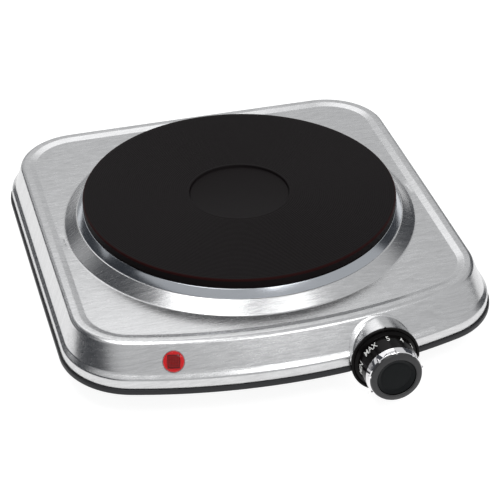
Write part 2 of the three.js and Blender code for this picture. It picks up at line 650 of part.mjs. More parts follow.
function knob() {
  const seat = BARREL_RADIUS - RING_THICK - GAP;
  const step = KNOB_LENGTH - RING_LENGTH;
  const bore = SPINDLE_RADIUS + 0.7;
  const body = lathe([
    [bore, -1], [HUB_RADIUS, -1], [HUB_RADIUS, 8], [BARREL_RADIUS - 2.6, 9], [BARREL_RADIUS - 1.8, -0.4],
    [SKIRT_RADIUS - 1.6, -0.9], [SKIRT_RADIUS - 1, -SKIRT_THICK], [SKIRT_RADIUS, -SKIRT_THICK],
    [SKIRT_RADIUS, 0], [BARREL_RADIUS + 0.2, 0.8], [BARREL_RADIUS - 0.2, step - GAP], [seat, step - GAP],
    [seat, KNOB_LENGTH - 0.9], [CAP_RADIUS + 0.6, KNOB_LENGTH], [CAP_RADIUS + GAP, KNOB_LENGTH - 0.6],
    [CAP_RADIUS + GAP, RECESS_FRONT - 1.5], [0, RECESS_FRONT - 1.5],
    [0, BORE_END], [bore, BORE_END], [bore, -1],
  ], 30);
  add('knob_body', body, BLACK_PLASTIC, CONTROL_FRAME);
  const trim = lathe([
    [BARREL_RADIUS - RING_THICK, step], [BARREL_RADIUS + 0.1, step],
    [BARREL_RADIUS - RING_TAPER, KNOB_LENGTH - 1], [BARREL_RADIUS - RING_TAPER - 0.4, KNOB_LENGTH - 0.5],
    [BARREL_RADIUS - RING_THICK, KNOB_LENGTH - 0.5], [BARREL_RADIUS - RING_THICK, step],
  ], 30);
  add('knob_trim', trim, CHROME, CONTROL_FRAME);
  const cap = lathe([
    [0, RECESS_FRONT - 1.2], [CAP_RADIUS, RECESS_FRONT - 1.2], [CAP_RADIUS, RECESS_FRONT - 0.4],
    [CAP_RADIUS - 1, RECESS_FRONT], [0, RECESS_FRONT],
  ], 32);
  add('knob_cap', cap, BLACK_PLASTIC, CONTROL_FRAME);
  add('knob_clip', ring(SPINDLE_RADIUS + 0.2, SPINDLE_RADIUS + 0.5, 2, 7, 16), ZINC, CONTROL_FRAME);
}

// ---------------------------------------------------------------- thermostat
const KNOB_LOW = -44 * Math.PI / 180; // knob turned to its hottest mark
const KNOB_HIGH = 276 * Math.PI / 180; // knob turned to its coolest mark
const CAM_RISE = 0.358; // mm of pin travel per radian of knob
const CAM_RADIUS = 6.4;
const CAM_BACK = -22; // cam face at the pin when the knob is at rest
const PIN_OFFSET = 4.6; // push pin beside the spindle axis
const PUSH_RADIUS = 1.1;
const FRAME_FRONT = BOSS_FACE - SKIN - GAP;
const FRAME_WALL = 1.2;
const FRAME_LOW = KNOB_HEIGHT - PAN_FOOT - PAN_WALL - 3 * GAP; // its foot clears the pan's flange
const FRAME_BACK = -30;
const LEAF_AT = FRAME_BACK - 4.3; // front face of the contact leaf at rest
const LEAF_THICK = 0.4;
const LEAF_ROOT = PIN_OFFSET - 25; // hinge of the leaf, beside the axis
const LEAF_TIP = 12;
const STRIP_AT = LEAF_AT - 3.7;
const BIMETAL_AT = STRIP_AT - 3;
const BLOCK_BACK = BIMETAL_AT - 3.4;

function spindle() {
  // Face cam: its back face is a helix about the axis with one step. Turning the knob by
  // +t brings the cam's angle -t round to the pin, so the face there follows CAM_RISE.
  const count = 48;
  const start = -KNOB_HIGH - (2 * Math.PI - (KNOB_HIGH - KNOB_LOW)) / 2;
  const sections = [];
  for (let i = 0; i < count; i++) {
    const turn = start + (2 * Math.PI * (i + 0.5)) / count;
    const face = CAM_BACK - CAM_RISE * turn;
    const at = (r, z) => new THREE.Vector3(r * Math.cos(turn), r * Math.sin(turn), z);
    sections.push([at(1, -17), at(CAM_RADIUS, -17), at(CAM_RADIUS, face), at(1, face)]);
  }
  const shaft = rod(SPINDLE_RADIUS, CAM_BACK + 3, 11, 20);
  const flat = box(-5, 5, SPINDLE_RADIUS - 0.8, 5, 0, 12);
  const tail = rod(2, CAM_BACK - 4, -17, 12);
  add('spindle', join(cut(shaft, flat), ringBody(sections), tail), ZINC, CONTROL_FRAME);
}

function thermostat() {
  const halfHeight = 8;
  const frontPlate = cut(
    box(-FRAME_HALF, FRAME_HALF, -FRAME_LOW, halfHeight, FRAME_FRONT - FRAME_WALL, FRAME_FRONT),
    rod(SPINDLE_RADIUS + GAP, -10, 0),
    ...[-1, 1].map((side) => rod(SCREW_RADIUS + GAP, -10, 0, 12).translate(side * SCREW_SPREAD, 0, 0)),
  );
  const backPlate = cut(
    box(LEAF_ROOT - 6, LEAF_TIP + 3, -halfHeight, halfHeight, FRAME_BACK, FRAME_BACK + FRAME_WALL),
    rod(PUSH_RADIUS + GAP, FRAME_BACK - 1, FRAME_BACK + 3, 12).translate(PIN_OFFSET, 0, 0),
    rod(2 + GAP, FRAME_BACK - 1, FRAME_BACK + 3, 12).translate(0, 0, 0),
  );
  const bridge = box(-9, 9, halfHeight - FRAME_WALL, halfHeight, FRAME_BACK, FRAME_FRONT);
  add('thermostat_frame', join(frontPlate, backPlate, bridge), ZINC, CONTROL_FRAME);
  const slot = (at, thick) => box(LEAF_ROOT - 2, 0, -9, 9, at - thick - GAP, at + GAP);
  const block = cut(
    box(LEAF_ROOT - 6, LEAF_ROOT + 3, -7, 7, BLOCK_BACK, FRAME_BACK - GAP),
    slot(LEAF_AT, LEAF_THICK),
    slot(STRIP_AT, 0.8),
    slot(BIMETAL_AT, 0.9),
  );
  add('thermostat_body', block, CERAMIC, CONTROL_FRAME);
  add('push_pin', rod(PUSH_RADIUS, LEAF_AT + GAP, CAM_BACK - GAP, 12).translate(PIN_OFFSET, 0, 0), CERAMIC,
    CONTROL_FRAME);
  const button = rod(1.5, LEAF_AT - LEAF_THICK - 0.9, LEAF_AT - 0.1, 12).translate(LEAF_TIP - 2, 0, 0);
  const leaf = box(LEAF_ROOT - 1.5, LEAF_TIP, -3, 3, LEAF_AT - LEAF_THICK, LEAF_AT);
  add('contact_leaf', join(leaf, button), BRASS, CONTROL_FRAME);
  const fixed = rod(1.5, STRIP_AT - 0.1, LEAF_AT - LEAF_THICK - 0.9 - 0.8, 12).translate(LEAF_TIP - 2, 0, 0);
  add('contact_strip', join(box(LEAF_ROOT - 1.7, LEAF_TIP, -3, 3, STRIP_AT - 0.8, STRIP_AT), fixed), BRASS,
    CONTROL_FRAME);
  add('bimetal_strip', box(LEAF_ROOT - 1.7, LEAF_TIP + 2, -3, 3, BIMETAL_AT - 0.9, BIMETAL_AT), ZINC,
    CONTROL_FRAME);
  const head = BOSS_FACE + GAP;
  for (const [name, x] of [['left', -SCREW_SPREAD], ['right', SCREW_SPREAD]]) {
    const screw = lathe([[0, FRAME_FRONT - 4], [SCREW_RADIUS, FRAME_FRONT - 4], [SCREW_RADIUS, head],
      [SCREW_RADIUS + 1.2, head], [SCREW_RADIUS + 1.2, head + 0.9], [0, head + 0.9]], 12);
    add(`thermostat_screw_${name}`, screw.translate(x, 0, 0), ZINC, CONTROL_FRAME);
  }
}

// ---------------------------------------------------------------- lamp and gland
function lamp() {
  const stem = LAMP_STEM;
  add('lamp_lens', lathe([
    [stem - 0.8, -9], [stem, -9], [stem, GAP], [LAMP_RADIUS, GAP], [LAMP_RADIUS, 1],
    [LAMP_RADIUS - 0.9, 1.7], [LAMP_RADIUS - 3, 2.1], [0, 2.2], [0, 0.8], [stem - 0.8, 0.8], [stem - 0.8, -9],
  ], 20), RED_GLASS, LAMP_FRAME);
  add('lamp_nut', ring(stem + GAP, stem + 1.8, -SKIN - 2.3, -SKIN - GAP, 20), ZINC, LAMP_FRAME);
  add('lamp_body', lathe([
    [0, -14], [stem - 1.2, -14], [stem - 1.2, -0.4], [stem - 1.8, -0.4], [stem - 1.8, -11], [0, -11],
  ], 20), WHITE_PLASTIC, LAMP_FRAME);
  add('neon_bulb', lathe([[0, -10.6], [1.5, -10.6], [1.6, -3], [0.8, -2], [0, -1.8]], 12), GLASS, LAMP_FRAME);
}

function gland() {
  const stem = GLAND_STEM;
  const slope = WALL_SPREAD / WALL_HEIGHT;
  const slant = GLAND_RADIUS * slope;
  const flange = framed(rod(GLAND_RADIUS, -slant - 1, slant + 1.5, 20), GLAND_FRAME);
  const barrel = framed(lathe([
    [0, -slant - 8], [stem, -slant - 8], [stem, slant + 3], [CORD_RADIUS + 1, slant + 5], [0, slant + 5],
  ], 20), GLAND_FRAME);
  const bore = framed(rod(CORD_RADIUS, -20, 20, 20), GLAND_FRAME);
  add('cord_gland', cut(join(cut(flange, housingBlock(GAP)), barrel), bore), BLACK_PLASTIC);
  const nutReach = stem + 1.5;
  const seat = -SKIN - nutReach * slope - 3 * GAP;
  const nut = cut(rod(nutReach, seat - 3, seat, 6), rod(stem + GAP, -20, 0, 20));
  add('gland_nut', nut, BLACK_PLASTIC, GLAND_FRAME);
}

// ---------------------------------------------------------------- wiring
const BLOCK_X = 58;
const BLOCK_Y = 76;
const BLOCK_HALF = 13;
const BLOCK_HEIGHT = 10;

function wiring() {
  const floor = FLOOR_TOP + GAP;
  const channels = [-8, 0, 8];
  const blank = box(-BLOCK_HALF, BLOCK_HALF, -6, 6, floor, floor + BLOCK_HEIGHT)
    .translate(BLOCK_X, BLOCK_Y, 0);
  const channel = (x) => rod(WIRE_RADIUS + 0.5, -8, 8, 12).rotateX(Math.PI / 2)
    .translate(BLOCK_X + x, BLOCK_Y, floor + 5);
  add('terminal_block', cut(blank, ...channels.map(channel)), WHITE_PLASTIC);
  const mouth = (i) => [BLOCK_X + channels[i], BLOCK_Y - 4, floor + 5];
  const ahead = (i, y) => [BLOCK_X + channels[i], y, floor + 5];
  const root = new THREE.Vector3(LEAF_ROOT - 8.5, 0, BLOCK_BACK).applyMatrix4(CONTROL_FRAME);
  const pin = (i) => [PIN_X + (i - 1) * PIN_PITCH, PIN_Y, PIN_FOOT - GAP];
  const drop = (i, dz) => [PIN_X + (i - 1) * PIN_PITCH, PIN_Y, PIN_FOOT - dz];
  add('wire_live', tube([mouth(0), ahead(0, 50), [44, 10, 15], [30, -40, 14],
    [root.x, root.y + 12, root.z], [root.x, root.y - 2, root.z]]), wireFinish('#6b3f1f'));
  add('wire_neutral', tube([mouth(1), ahead(1, 56), [50, 36, 20], [6, 24, 21], [-20, 6, 20],
    [-21, -18, 19], drop(2, 5), pin(2)]), wireFinish('#2f62a8'));
  add('wire_switched', tube([[root.x - 4, root.y - 2, root.z], [root.x - 4, root.y + 10, root.z],
    [0, -50, 16], [-24, -42, 18], [-30, -32, 19], drop(1, 5), pin(1)]), wireFinish('#1d1d1f'));
  add('earth_tab', box(-84, -76, 20, 34, PANEL_HEIGHT - SKIN - 16, PANEL_HEIGHT - SKIN - 14.8), BRASS);
  add('wire_earth', tube([mouth(2), ahead(2, 62), [62, 48, 22], [30, 46, 24], [-30, 50, 22], [-70, 40, 20],
    [-80, 27, PANEL_HEIGHT - SKIN - 18], [-80, 27, PANEL_HEIGHT - SKIN - 16.4]]), wireFinish('#8f9a2a'));
  const tail = new THREE.Vector3(0, 0, -14 - GAP).applyMatrix4(LAMP_FRAME);
  add('wire_lamp', tube([[tail.x, tail.y, tail.z], [tail.x, tail.y + 5, tail.z - 3], [-66, -80, 16],
    [-52, -50, 16], drop(0, 5), pin(0)], 1), wireFinish('#a03028'));
  add('thermal_fuse', rod(2.4, -9, 9, 12).rotateY(Math.PI / 2).translate(20, 8, 26), ZINC);
}

knob();
spindle();
thermostat();
lamp();
gland();
wiring();

// The origin stands under the middle of the whole part, on the table.
const bounds = new THREE.Box3().setFromObject(assembly);
assembly.position.y = -(bounds.min.y + bounds.max.y) / 2;
assembly.updateMatrixWorld(true);

export default assembly;
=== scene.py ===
# %% [markdown]
# # A single hot plate burner
#
# The burner is a low steel box with one round cast plate on top, a knob and a small red lamp at
# the front. Its working parts come as a fixed frame of plain solids. This lesson builds the fine
# surfaces around that frame, one piece at a time, and gives every part its finish.

import json
import math

import bpy
import bmesh
from mathutils import Matrix, Vector
from mathutils.bvhtree import BVHTree


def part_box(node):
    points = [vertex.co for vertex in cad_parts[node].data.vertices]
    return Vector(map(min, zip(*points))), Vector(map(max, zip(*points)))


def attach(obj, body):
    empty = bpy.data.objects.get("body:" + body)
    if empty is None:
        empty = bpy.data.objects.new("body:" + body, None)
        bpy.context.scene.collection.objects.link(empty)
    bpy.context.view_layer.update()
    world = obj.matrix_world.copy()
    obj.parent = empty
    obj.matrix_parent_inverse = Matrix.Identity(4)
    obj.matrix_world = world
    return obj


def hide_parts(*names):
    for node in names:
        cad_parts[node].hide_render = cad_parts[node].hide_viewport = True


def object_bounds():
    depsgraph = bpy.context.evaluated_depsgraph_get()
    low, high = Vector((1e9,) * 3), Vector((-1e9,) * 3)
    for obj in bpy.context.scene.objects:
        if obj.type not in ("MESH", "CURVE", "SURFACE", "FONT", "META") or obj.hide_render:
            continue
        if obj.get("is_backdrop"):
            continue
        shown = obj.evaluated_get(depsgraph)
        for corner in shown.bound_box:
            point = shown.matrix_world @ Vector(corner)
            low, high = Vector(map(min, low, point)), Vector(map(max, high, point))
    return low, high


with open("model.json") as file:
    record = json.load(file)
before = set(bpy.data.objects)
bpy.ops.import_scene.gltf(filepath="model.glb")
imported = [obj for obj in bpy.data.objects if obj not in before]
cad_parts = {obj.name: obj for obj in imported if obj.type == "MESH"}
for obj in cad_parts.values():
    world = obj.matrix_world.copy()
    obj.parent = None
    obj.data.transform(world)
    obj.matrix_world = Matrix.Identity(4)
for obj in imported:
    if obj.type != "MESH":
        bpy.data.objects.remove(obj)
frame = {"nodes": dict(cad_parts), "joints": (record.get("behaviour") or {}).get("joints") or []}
cad_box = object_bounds()
nodes = frame["nodes"]
print("nodes in the frame:", len(nodes))

# %% [markdown]
# ## Sizes
#
# Everything is in metres, so one small name, MM, turns a size in millimetres into scene units.
# Places come from the boxes of the frame's nodes. What a box can't tell, such as the bow of the
# front edge, is written here once, under the same name as in the frame's own source.

# %% Sizes and places
MM = 0.001
GAP = 0.3 * MM

plate_low, plate_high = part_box("hotplate")
PLATE_AXIS = Vector(((plate_low.x + plate_high.x) / 2, (plate_low.y + plate_high.y) / 2, 0))
PLATE_TOP = plate_high.z
PLATE_RADIUS = (plate_high.x - plate_low.x) / 2
shell_low, shell_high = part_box("housing")
pan_low, pan_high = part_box("base_pan")

LIP_OUT = 6.7 * MM
LIP_HEIGHT = 5 * MM
LIP_DROP = 2.1 * MM
WALL_SPREAD = 4.2 * MM
WALL_HEIGHT = 12.7 * MM
FRONT_SPREAD = 6 * MM
HALF_WIDTH = shell_high.x - LIP_OUT
BACK_REACH = shell_high.y - LIP_OUT - PLATE_AXIS.y
FRONT_REACH = 121.9 * MM
SIDE_BOW, FRONT_BOW, BACK_BOW = 0.4 * MM, 21.7 * MM, 0.4 * MM
FRONT_CORNER, BACK_CORNER = 35.2 * MM, 36 * MM
PANEL = 39 * MM
BEAD_RISE, BEAD_WIDTH = 1.1 * MM, 9.5 * MM
BEAD_DROP = 0.7 * MM
WALL_TOP = PANEL + BEAD_RISE - BEAD_DROP
WALL_FOOT = WALL_TOP - WALL_HEIGHT
LIP_TOP = WALL_FOOT - LIP_DROP
LIP_FOOT = LIP_TOP - LIP_HEIGHT
SKIN = 0.8 * MM
print("plate radius %.1f mm, top at %.1f mm" % (PLATE_RADIUS / MM, PLATE_TOP / MM))

# %% [markdown]
# ## Camera
#
# The camera stands in front and a little to the left, and looks down at the plate. It is placed
# from four plain values: how far round it stands, how high, how far away, and a slight roll.

# %% Camera
AZIMUTH, ELEVATION, ROLL = (math.radians(a) for a in (-14.91, 33.76, -0.61))
DISTANCE = 1.0947
SIDESTEP, DROP = 0.0063, -0.0350
SENSOR, LENS = 36.0, 133.5

back = Vector((
    math.sin(AZIMUTH) * math.cos(ELEVATION),
    -math.cos(AZIMUTH) * math.cos(ELEVATION),
    math.sin(ELEVATION),
))
flat_right = Vector((math.cos(AZIMUTH), math.sin(AZIMUTH), 0))
flat_up = back.cross(flat_right)
right = flat_right * math.cos(ROLL) + flat_up * math.sin(ROLL)
up = flat_up * math.cos(ROLL) - flat_right * math.sin(ROLL)
target = PLATE_AXIS + Vector((0, 0, PLATE_TOP))
bpy.ops.object.camera_add()
camera = bpy.context.object
camera.name = "camera"
camera.data.sensor_width = SENSOR
camera.data.lens = LENS
turn = Matrix((right, up, back)).transposed().to_4x4()
stand = target + right * SIDESTEP + up * DROP + back * DISTANCE
camera.matrix_world = Matrix.Translation(stand) @ turn
bpy.context.scene.camera = camera
print("camera at", [round(c, 3) for c in camera.location])

# %% [markdown]
# ## Floor and light
#
# A pale floor and a bright, even room make the soft white setting. Steel shows the room more than
# its own colour, so the room also needs a few soft lights and some dark cards.

# %% Helpers for the bench
def rest():
    """Leave edit mode and select nothing."""
    if bpy.context.object and bpy.context.object.mode != "OBJECT":
        bpy.ops.object.mode_set(mode="OBJECT")
    bpy.ops.object.select_all(action="DESELECT")


def aim(obj, place, at):
    """Put an object at a place, with its local -Z towards a point."""
    obj.location = place
    obj.rotation_euler = (Vector(at) - Vector(place)).to_track_quat("-Z", "Y").to_euler()


def lamp_panel(name, place, at, width, height, watts):
    """A flat soft light."""
    rest()
    bpy.ops.object.light_add(type="AREA")
    light = bpy.context.object
    light.name = name
    light.data.shape = "RECTANGLE"
    light.data.size, light.data.size_y = width, height
    light.data.energy = watts
    aim(light, place, at)
    return light


# %% [markdown]
# Three soft lights do the work. The one overhead whitens the front of the collar. The one in front
# draws the bright line along the front rim. The one behind is what the panel and the top of the
# boss mirror, so it makes the panel brightest at the front left.

# %% Floor, room and lights
FLOOR_SIZE, FLOOR_DROP = 12, 0.2 * MM
ROOM_COLOR, ROOM_STRENGTH = (0.98, 0.99, 1.0), 0.72
MIDDLE = (0, 0, 0.04)

rest()
bpy.ops.mesh.primitive_plane_add(size=FLOOR_SIZE, location=(0, 0, -FLOOR_DROP))
floor = bpy.context.object
floor.name = "floor"
floor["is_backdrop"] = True

world = bpy.data.worlds.new("studio")
bpy.context.scene.world = world
world.use_nodes = True
sky = world.node_tree.nodes["Background"]
sky.inputs["Color"].default_value = (*ROOM_COLOR, 1)
sky.inputs["Strength"].default_value = ROOM_STRENGTH
bpy.context.scene.view_settings.view_transform = "Standard"

lamp_panel("overhead", (-0.34, -0.20, 1.3), MIDDLE, 0.62, 0.6, 5.5)
lamp_panel("front_glow", (0.32, -0.74, 1.1), MIDDLE, 0.5, 0.3, 2.2)
lamp_panel("back_left_glow", (-0.11, 0.63, 0.80), (0, -0.03, 0.04), 0.86, 0.40, 1.15)
print("floor, room and three lights")


# %% [markdown]
# The dark cards give the steel its contrast: the left of the collar and of the trim ring, the front
# left corner and the thin lines under the rim all mirror one of them. They stand metres away, so
# they never come between the burner and somebody who walks round it.

# %% Dark cards
def dark_card(name, place, width, height):
    """A flat dark screen that faces the burner from a place in the room."""
    rest()
    bpy.ops.mesh.primitive_plane_add(size=1)
    card = bpy.context.object
    card.name = name
    card.data.transform(Matrix.Diagonal((width, height, 1, 1)))
    card.data.transform(Vector(place).to_track_quat("Z", "Y").to_matrix().to_4x4())
    card.data.transform(Matrix.Translation(place))
    card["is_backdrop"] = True
    return card


cards = [
    dark_card("card_front_left", (-3.60, -1.02, 1.14), 6.3, 2.34),
    dark_card("card_back_left", (-2.73, 2.73, 0.66), 3.15, 1.32),
    dark_card("card_high_left", (-2.04, 1.41, 2.55), 3.45, 2.1),
    dark_card("card_back", (0.6, 4.05, 0.24), 4.8, 0.42),
    dark_card("card_right", (3.33, 1.71, 0.90), 3.3, 1.95),
]
print("dark cards:", len(cards))

# %% [markdown]
# ## Writing finishes as sums
#
# A finish is a small network of nodes. Wiring it by hand takes many lines, so a small class wraps
# one socket and lets plain sums such as `1 - mask * 0.5` add the Math nodes. Every other node comes
# from one method that takes its type, its settings and what goes into it.

# %% A wrapped socket
class Signal:
    """A number or colour on its way through a finish."""

    def __init__(self, tree, socket):
        self.tree = tree
        self.socket = socket

    def node(self, kind, settings=None, inputs=None, output=0):
        """Add a node, and give back the output that is asked for."""
        made = self.tree.nodes.new(kind)
        for key, value in (settings or {}).items():
            setattr(made, key, value)
        for key, value in (inputs or {}).items():
            if isinstance(value, Signal):
                self.tree.links.new(value.socket, made.inputs[key])
            else:
                made.inputs[key].default_value = value
        return Signal(self.tree, made.outputs[output])

    def sum(self, operation, first, second):
        return self.node("ShaderNodeMath", {"operation": operation}, {0: first, 1: second})

    def __add__(self, other):
        return self.sum("ADD", self, other)

    __radd__ = __add__

    def __sub__(self, other):
        return self.sum("SUBTRACT", self, other)

    def __rsub__(self, other):
        return self.sum("SUBTRACT", other, self)

    def __mul__(self, other):
        return self.sum("MULTIPLY", self, other)

    __rmul__ = __mul__

    def above(self, edge):
        return self.sum("GREATER_THAN", self, edge)

    def blend(self, dark, light):
        """Mix two colours by this number."""
        settings = {"data_type": "RGBA"}
        inputs = {0: self, 6: (*dark, 1), 7: (*light, 1)}
        return self.node("ShaderNodeMix", settings, inputs, output=2)

    def spread(self, low, high):
        """Stretch 0..1 to low..high."""
        return self * (high - low) + low


def finish(name, color, roughness, metallic=0.0, **extra):
    """A new material with its constants set, its shader, and a starting point for signals."""
    material = bpy.data.materials.new(name)
    material.use_nodes = True
    tree = material.node_tree
    shader = tree.nodes["Principled BSDF"]
    shader.inputs["Base Color"].default_value = (*color, 1)
    shader.inputs["Roughness"].default_value = roughness
    shader.inputs["Metallic"].default_value = metallic
    for key, value in extra.items():
        shader.inputs[key.replace("_", " ")].default_value = value
    return material, shader, Signal(tree, None)


def feed(shader, start, **links):
    """Link signals into the shader's sockets."""
    for key, value in links.items():
        start.tree.links.new(value.socket, shader.inputs[key.replace("_", " ")])


def place_in(start, scale, shift=(0, 0, 0)):
    """Object coordinates, moved and stretched."""
    where = start.node("ShaderNodeTexCoord", output="Object")
    inputs = {"Vector": where, "Location": shift, "Scale": scale}
    return start.node("ShaderNodeMapping", {"vector_type": "POINT"}, inputs)


def speckle(start, vector, scale=1.0, detail=3.0, rough=0.5):
    """Even noise between 0 and 1."""
    inputs = {"Vector": vector, "Scale": scale, "Detail": detail, "Roughness": rough}
    return start.node("ShaderNodeTexNoise", {"noise_dimensions": "3D"}, inputs, output=0)


def bumped(shader, start, height, distance, strength=1.0):
    """Let a height pattern tilt the surface."""
    inputs = {"Height": height, "Distance": distance, "Strength": strength}
    feed(shader, start, Normal=start.node("ShaderNodeBump", {}, inputs))


# %% [markdown]
# ## Finishes
#
# Brushed steel is the main one. Its grain is made by noise that is drawn out along the brushing
# direction. The sheet was brushed flat and then pressed, so on the front wall the grain still runs
# from side to side, and on the side walls it runs down the wall. That is why the cross-grain
# coordinate adds the height only where the surface faces the front or the back. The grain changes
# the colour, the gloss and the slope of the surface together, as real scratches do.

# %% Brushed steel
HAIRS_ALONG, HAIRS_ACROSS = 240, 1300
BANDS_ALONG, BANDS_ACROSS = 110, 700
HAIR_SHARE = 0.6
TONE_SWING = 0.36
SCRATCH_DEPTH = 0.03 * MM


def brushed_steel(name, color, roughness, grain=1.0):
    material, shader, start = finish(name, color, roughness, 1.0)
    where = start.node("ShaderNodeTexCoord", output="Object")
    split = start.node("ShaderNodeSeparateXYZ", {}, {"Vector": where}).socket.node
    x, y, z = (Signal(start.tree, split.outputs[i]) for i in range(3))
    facing = start.node("ShaderNodeNewGeometry", output="Normal")
    normal = start.node("ShaderNodeSeparateXYZ", {}, {"Vector": facing}).socket.node
    fore = Signal(start.tree, normal.outputs[1])
    side = Signal(start.tree, normal.outputs[0])
    cross = y + z * fore * -1.0
    along = x - x * side * side
    hair_inputs = {"X": along * HAIRS_ALONG, "Y": cross * HAIRS_ACROSS, "Z": 0.5}
    band_inputs = {"X": along * BANDS_ALONG, "Y": cross * BANDS_ACROSS, "Z": 3.5}
    hair = speckle(start, start.node("ShaderNodeCombineXYZ", {}, hair_inputs), 1.0, 4.0, 0.65)
    band = speckle(start, start.node("ShaderNodeCombineXYZ", {}, band_inputs), 1.0, 2.0, 0.5)
    grainy = hair * HAIR_SHARE + band * (1 - HAIR_SHARE)
    light = tuple(min(1.0, c * (1 + TONE_SWING * grain)) for c in color)
    dark = tuple(c * (1 - TONE_SWING * grain) for c in color)
    feed(shader, start, Base_Color=grainy.blend(dark, light))
    feed(shader, start, Roughness=grainy.spread(roughness - 0.07, roughness + 0.09))
    bumped(shader, start, grainy, SCRATCH_DEPTH * grain, 0.6)
    return material


STEEL = brushed_steel("housing_brushed_steel", (0.565, 0.565, 0.57), 0.25)
TRIM = brushed_steel("trim_bright_steel", (0.45, 0.47, 0.50), 0.16, grain=0.12)
print("steel finishes made")


# %% [markdown]
# The plate is cast iron under a dark baked coating. It is turned on a lathe, so fine circular
# tool marks run round it. They are real grooves in the mesh; the finish only adds the slight
# graininess of the coating and a warmer, burnt edge.

# %% Plate coating
COATING_DARK, COATING_LIGHT = (0.0035, 0.0026, 0.0028), (0.008, 0.006, 0.0065)
BURNT_RED = (0.016, 0.003, 0.003)
BURNT_WIDTH, BURNT_DEPTH = 0.9 * MM, 1.3 * MM


def plate_coating():
    material, shader, start = finish("plate_coating", COATING_LIGHT, 0.42, Specular_IOR_Level=0.05)
    where = place_in(start, (1, 1, 1), shift=(-PLATE_AXIS.x, -PLATE_AXIS.y, 0))
    flat = start.node("ShaderNodeVectorMath", {"operation": "MULTIPLY"}, {0: where, 1: (1, 1, 0)})
    radius = start.node("ShaderNodeVectorMath", {"operation": "LENGTH"}, {0: flat}, output="Value")
    rings = start.node("ShaderNodeCombineXYZ", {}, {"X": radius * 900, "Y": 0.0, "Z": 0.0})
    marks = speckle(start, rings, 1.0, 2.0)
    dust = speckle(start, place_in(start, (2600, 2600, 2600)), 1.0, 2.0)
    rise = start.node("ShaderNodeSeparateXYZ", {}, {"Vector": where}, output=2)
    edge = radius.above(PLATE_RADIUS - BURNT_WIDTH) * rise.above(PLATE_TOP - BURNT_DEPTH)
    tone = (marks * 0.6 + dust * 0.4).blend(COATING_DARK, COATING_LIGHT)
    colors = {0: edge, 6: tone, 7: (*BURNT_RED, 1)}
    burnt = start.node("ShaderNodeMix", {"data_type": "RGBA"}, colors, output=2)
    feed(shader, start, Base_Color=burnt)
    feed(shader, start, Roughness=(marks * 0.5 + dust * 0.5).spread(0.34, 0.5))
    bumped(shader, start, dust, 0.012 * MM, 0.5)
    return material


IRON = plate_coating()


# %% [markdown]
# The rest are simpler. Each starts from one function that adds a fine, even grain to the colour,
# the roughness and the surface, because no moulded or painted part is perfectly flat.

# %% Moulded, painted and plated finishes
def grained(name, color, roughness, metallic=0.0, size=0.6, swing=0.12, depth=0.01, **extra):
    """An even finish with a fine grain; size and depth of the grain are in millimetres."""
    material, shader, start = finish(name, color, roughness, metallic, **extra)
    grain = speckle(start, place_in(start, (1 / (size * MM),) * 3), 1.0, 3.0)
    dark = tuple(c * (1 - swing) for c in color)
    light = tuple(min(1.0, c * (1 + swing)) for c in color)
    feed(shader, start, Base_Color=grain.blend(dark, light))
    feed(shader, start, Roughness=grain.spread(max(0.02, roughness - 0.05), roughness + 0.05))
    bumped(shader, start, grain, depth * MM, 0.5)
    return material


PAN_PAINT = grained("pan_black_paint", (0.022, 0.022, 0.024), 0.45, size=0.5, depth=0.02,
                    Specular_IOR_Level=0.2)
GLOSS_BLACK = grained("knob_gloss_black", (0.004, 0.0035, 0.0035), 0.16, size=4, swing=0.2, depth=0.002,
                      Specular_IOR_Level=0.07)
CAP_BLACK = grained("knob_cap_black", (0.007, 0.008, 0.0085), 0.3, size=2, depth=0.002,
                    Specular_IOR_Level=0.07)
BEZEL_GREY = grained("knob_bezel_grey", (0.036, 0.036, 0.037), 0.3, size=1.5, depth=0.002,
                     Specular_IOR_Level=0.25)
CHROME = grained("knob_chrome", (0.82, 0.81, 0.82), 0.07, 1.0, size=5, swing=0.02, depth=0.001)
MARK_WHITE = grained("mark_white", (0.72, 0.72, 0.70), 0.5, size=0.4, swing=0.05)
RUBBER = grained("foot_rubber", (0.018, 0.018, 0.018), 0.8, size=0.4, depth=0.03)
ZINC = grained("zinc_plate", (0.52, 0.53, 0.54), 0.32, 1.0, size=0.8, swing=0.1)
BRASS = grained("contact_brass", (0.62, 0.44, 0.17), 0.3, 1.0, size=0.8, swing=0.1)
CERAMIC = grained("steatite", (0.72, 0.68, 0.58), 0.6, size=0.5, swing=0.05, depth=0.02)
WHITE_PLASTIC = grained("white_plastic", (0.68, 0.68, 0.64), 0.45, size=0.7, swing=0.04)
GLAND_BLACK = grained("gland_black", (0.02, 0.02, 0.02), 0.45, size=0.5, depth=0.02)
LENS_GRID = grained("lens_grid_red", (0.05, 0.001, 0.0005), 0.4, size=0.5, swing=0.25)
LENS_RIDGE = grained("lens_ridge_red", (0.45, 0.003, 0.006), 0.3, size=0.5, swing=0.1)
LENS_SEAT = grained("lens_seat_red", (0.92, 0.002, 0.008), 0.3, size=0.8, swing=0.1)
LENS_RED = grained("lens_red", (0.28, 0.001, 0.003), 0.07, size=2, swing=0.05, depth=0.002,
                   Specular_IOR_Level=0.5, Alpha=0.28)
GLASS = grained("bulb_glass", (0.8, 0.7, 0.6), 0.1, size=2, swing=0.03, Alpha=0.5)


def sleeve(name, color):
    return grained(name, color, 0.45, size=0.8, swing=0.06)


# %% [markdown]
# ## Two ways to make a shell
#
# Most pieces here are either turned, like a pot on a wheel, or drawn up ring by ring. For a turned
# piece, a circle primitive is bent into the profile and spun round an axis. For the other kind,
# a circle primitive becomes the first ring, and each further ring is extruded from the last and
# moved to its place. Corners of a profile are rounded with short arcs first.

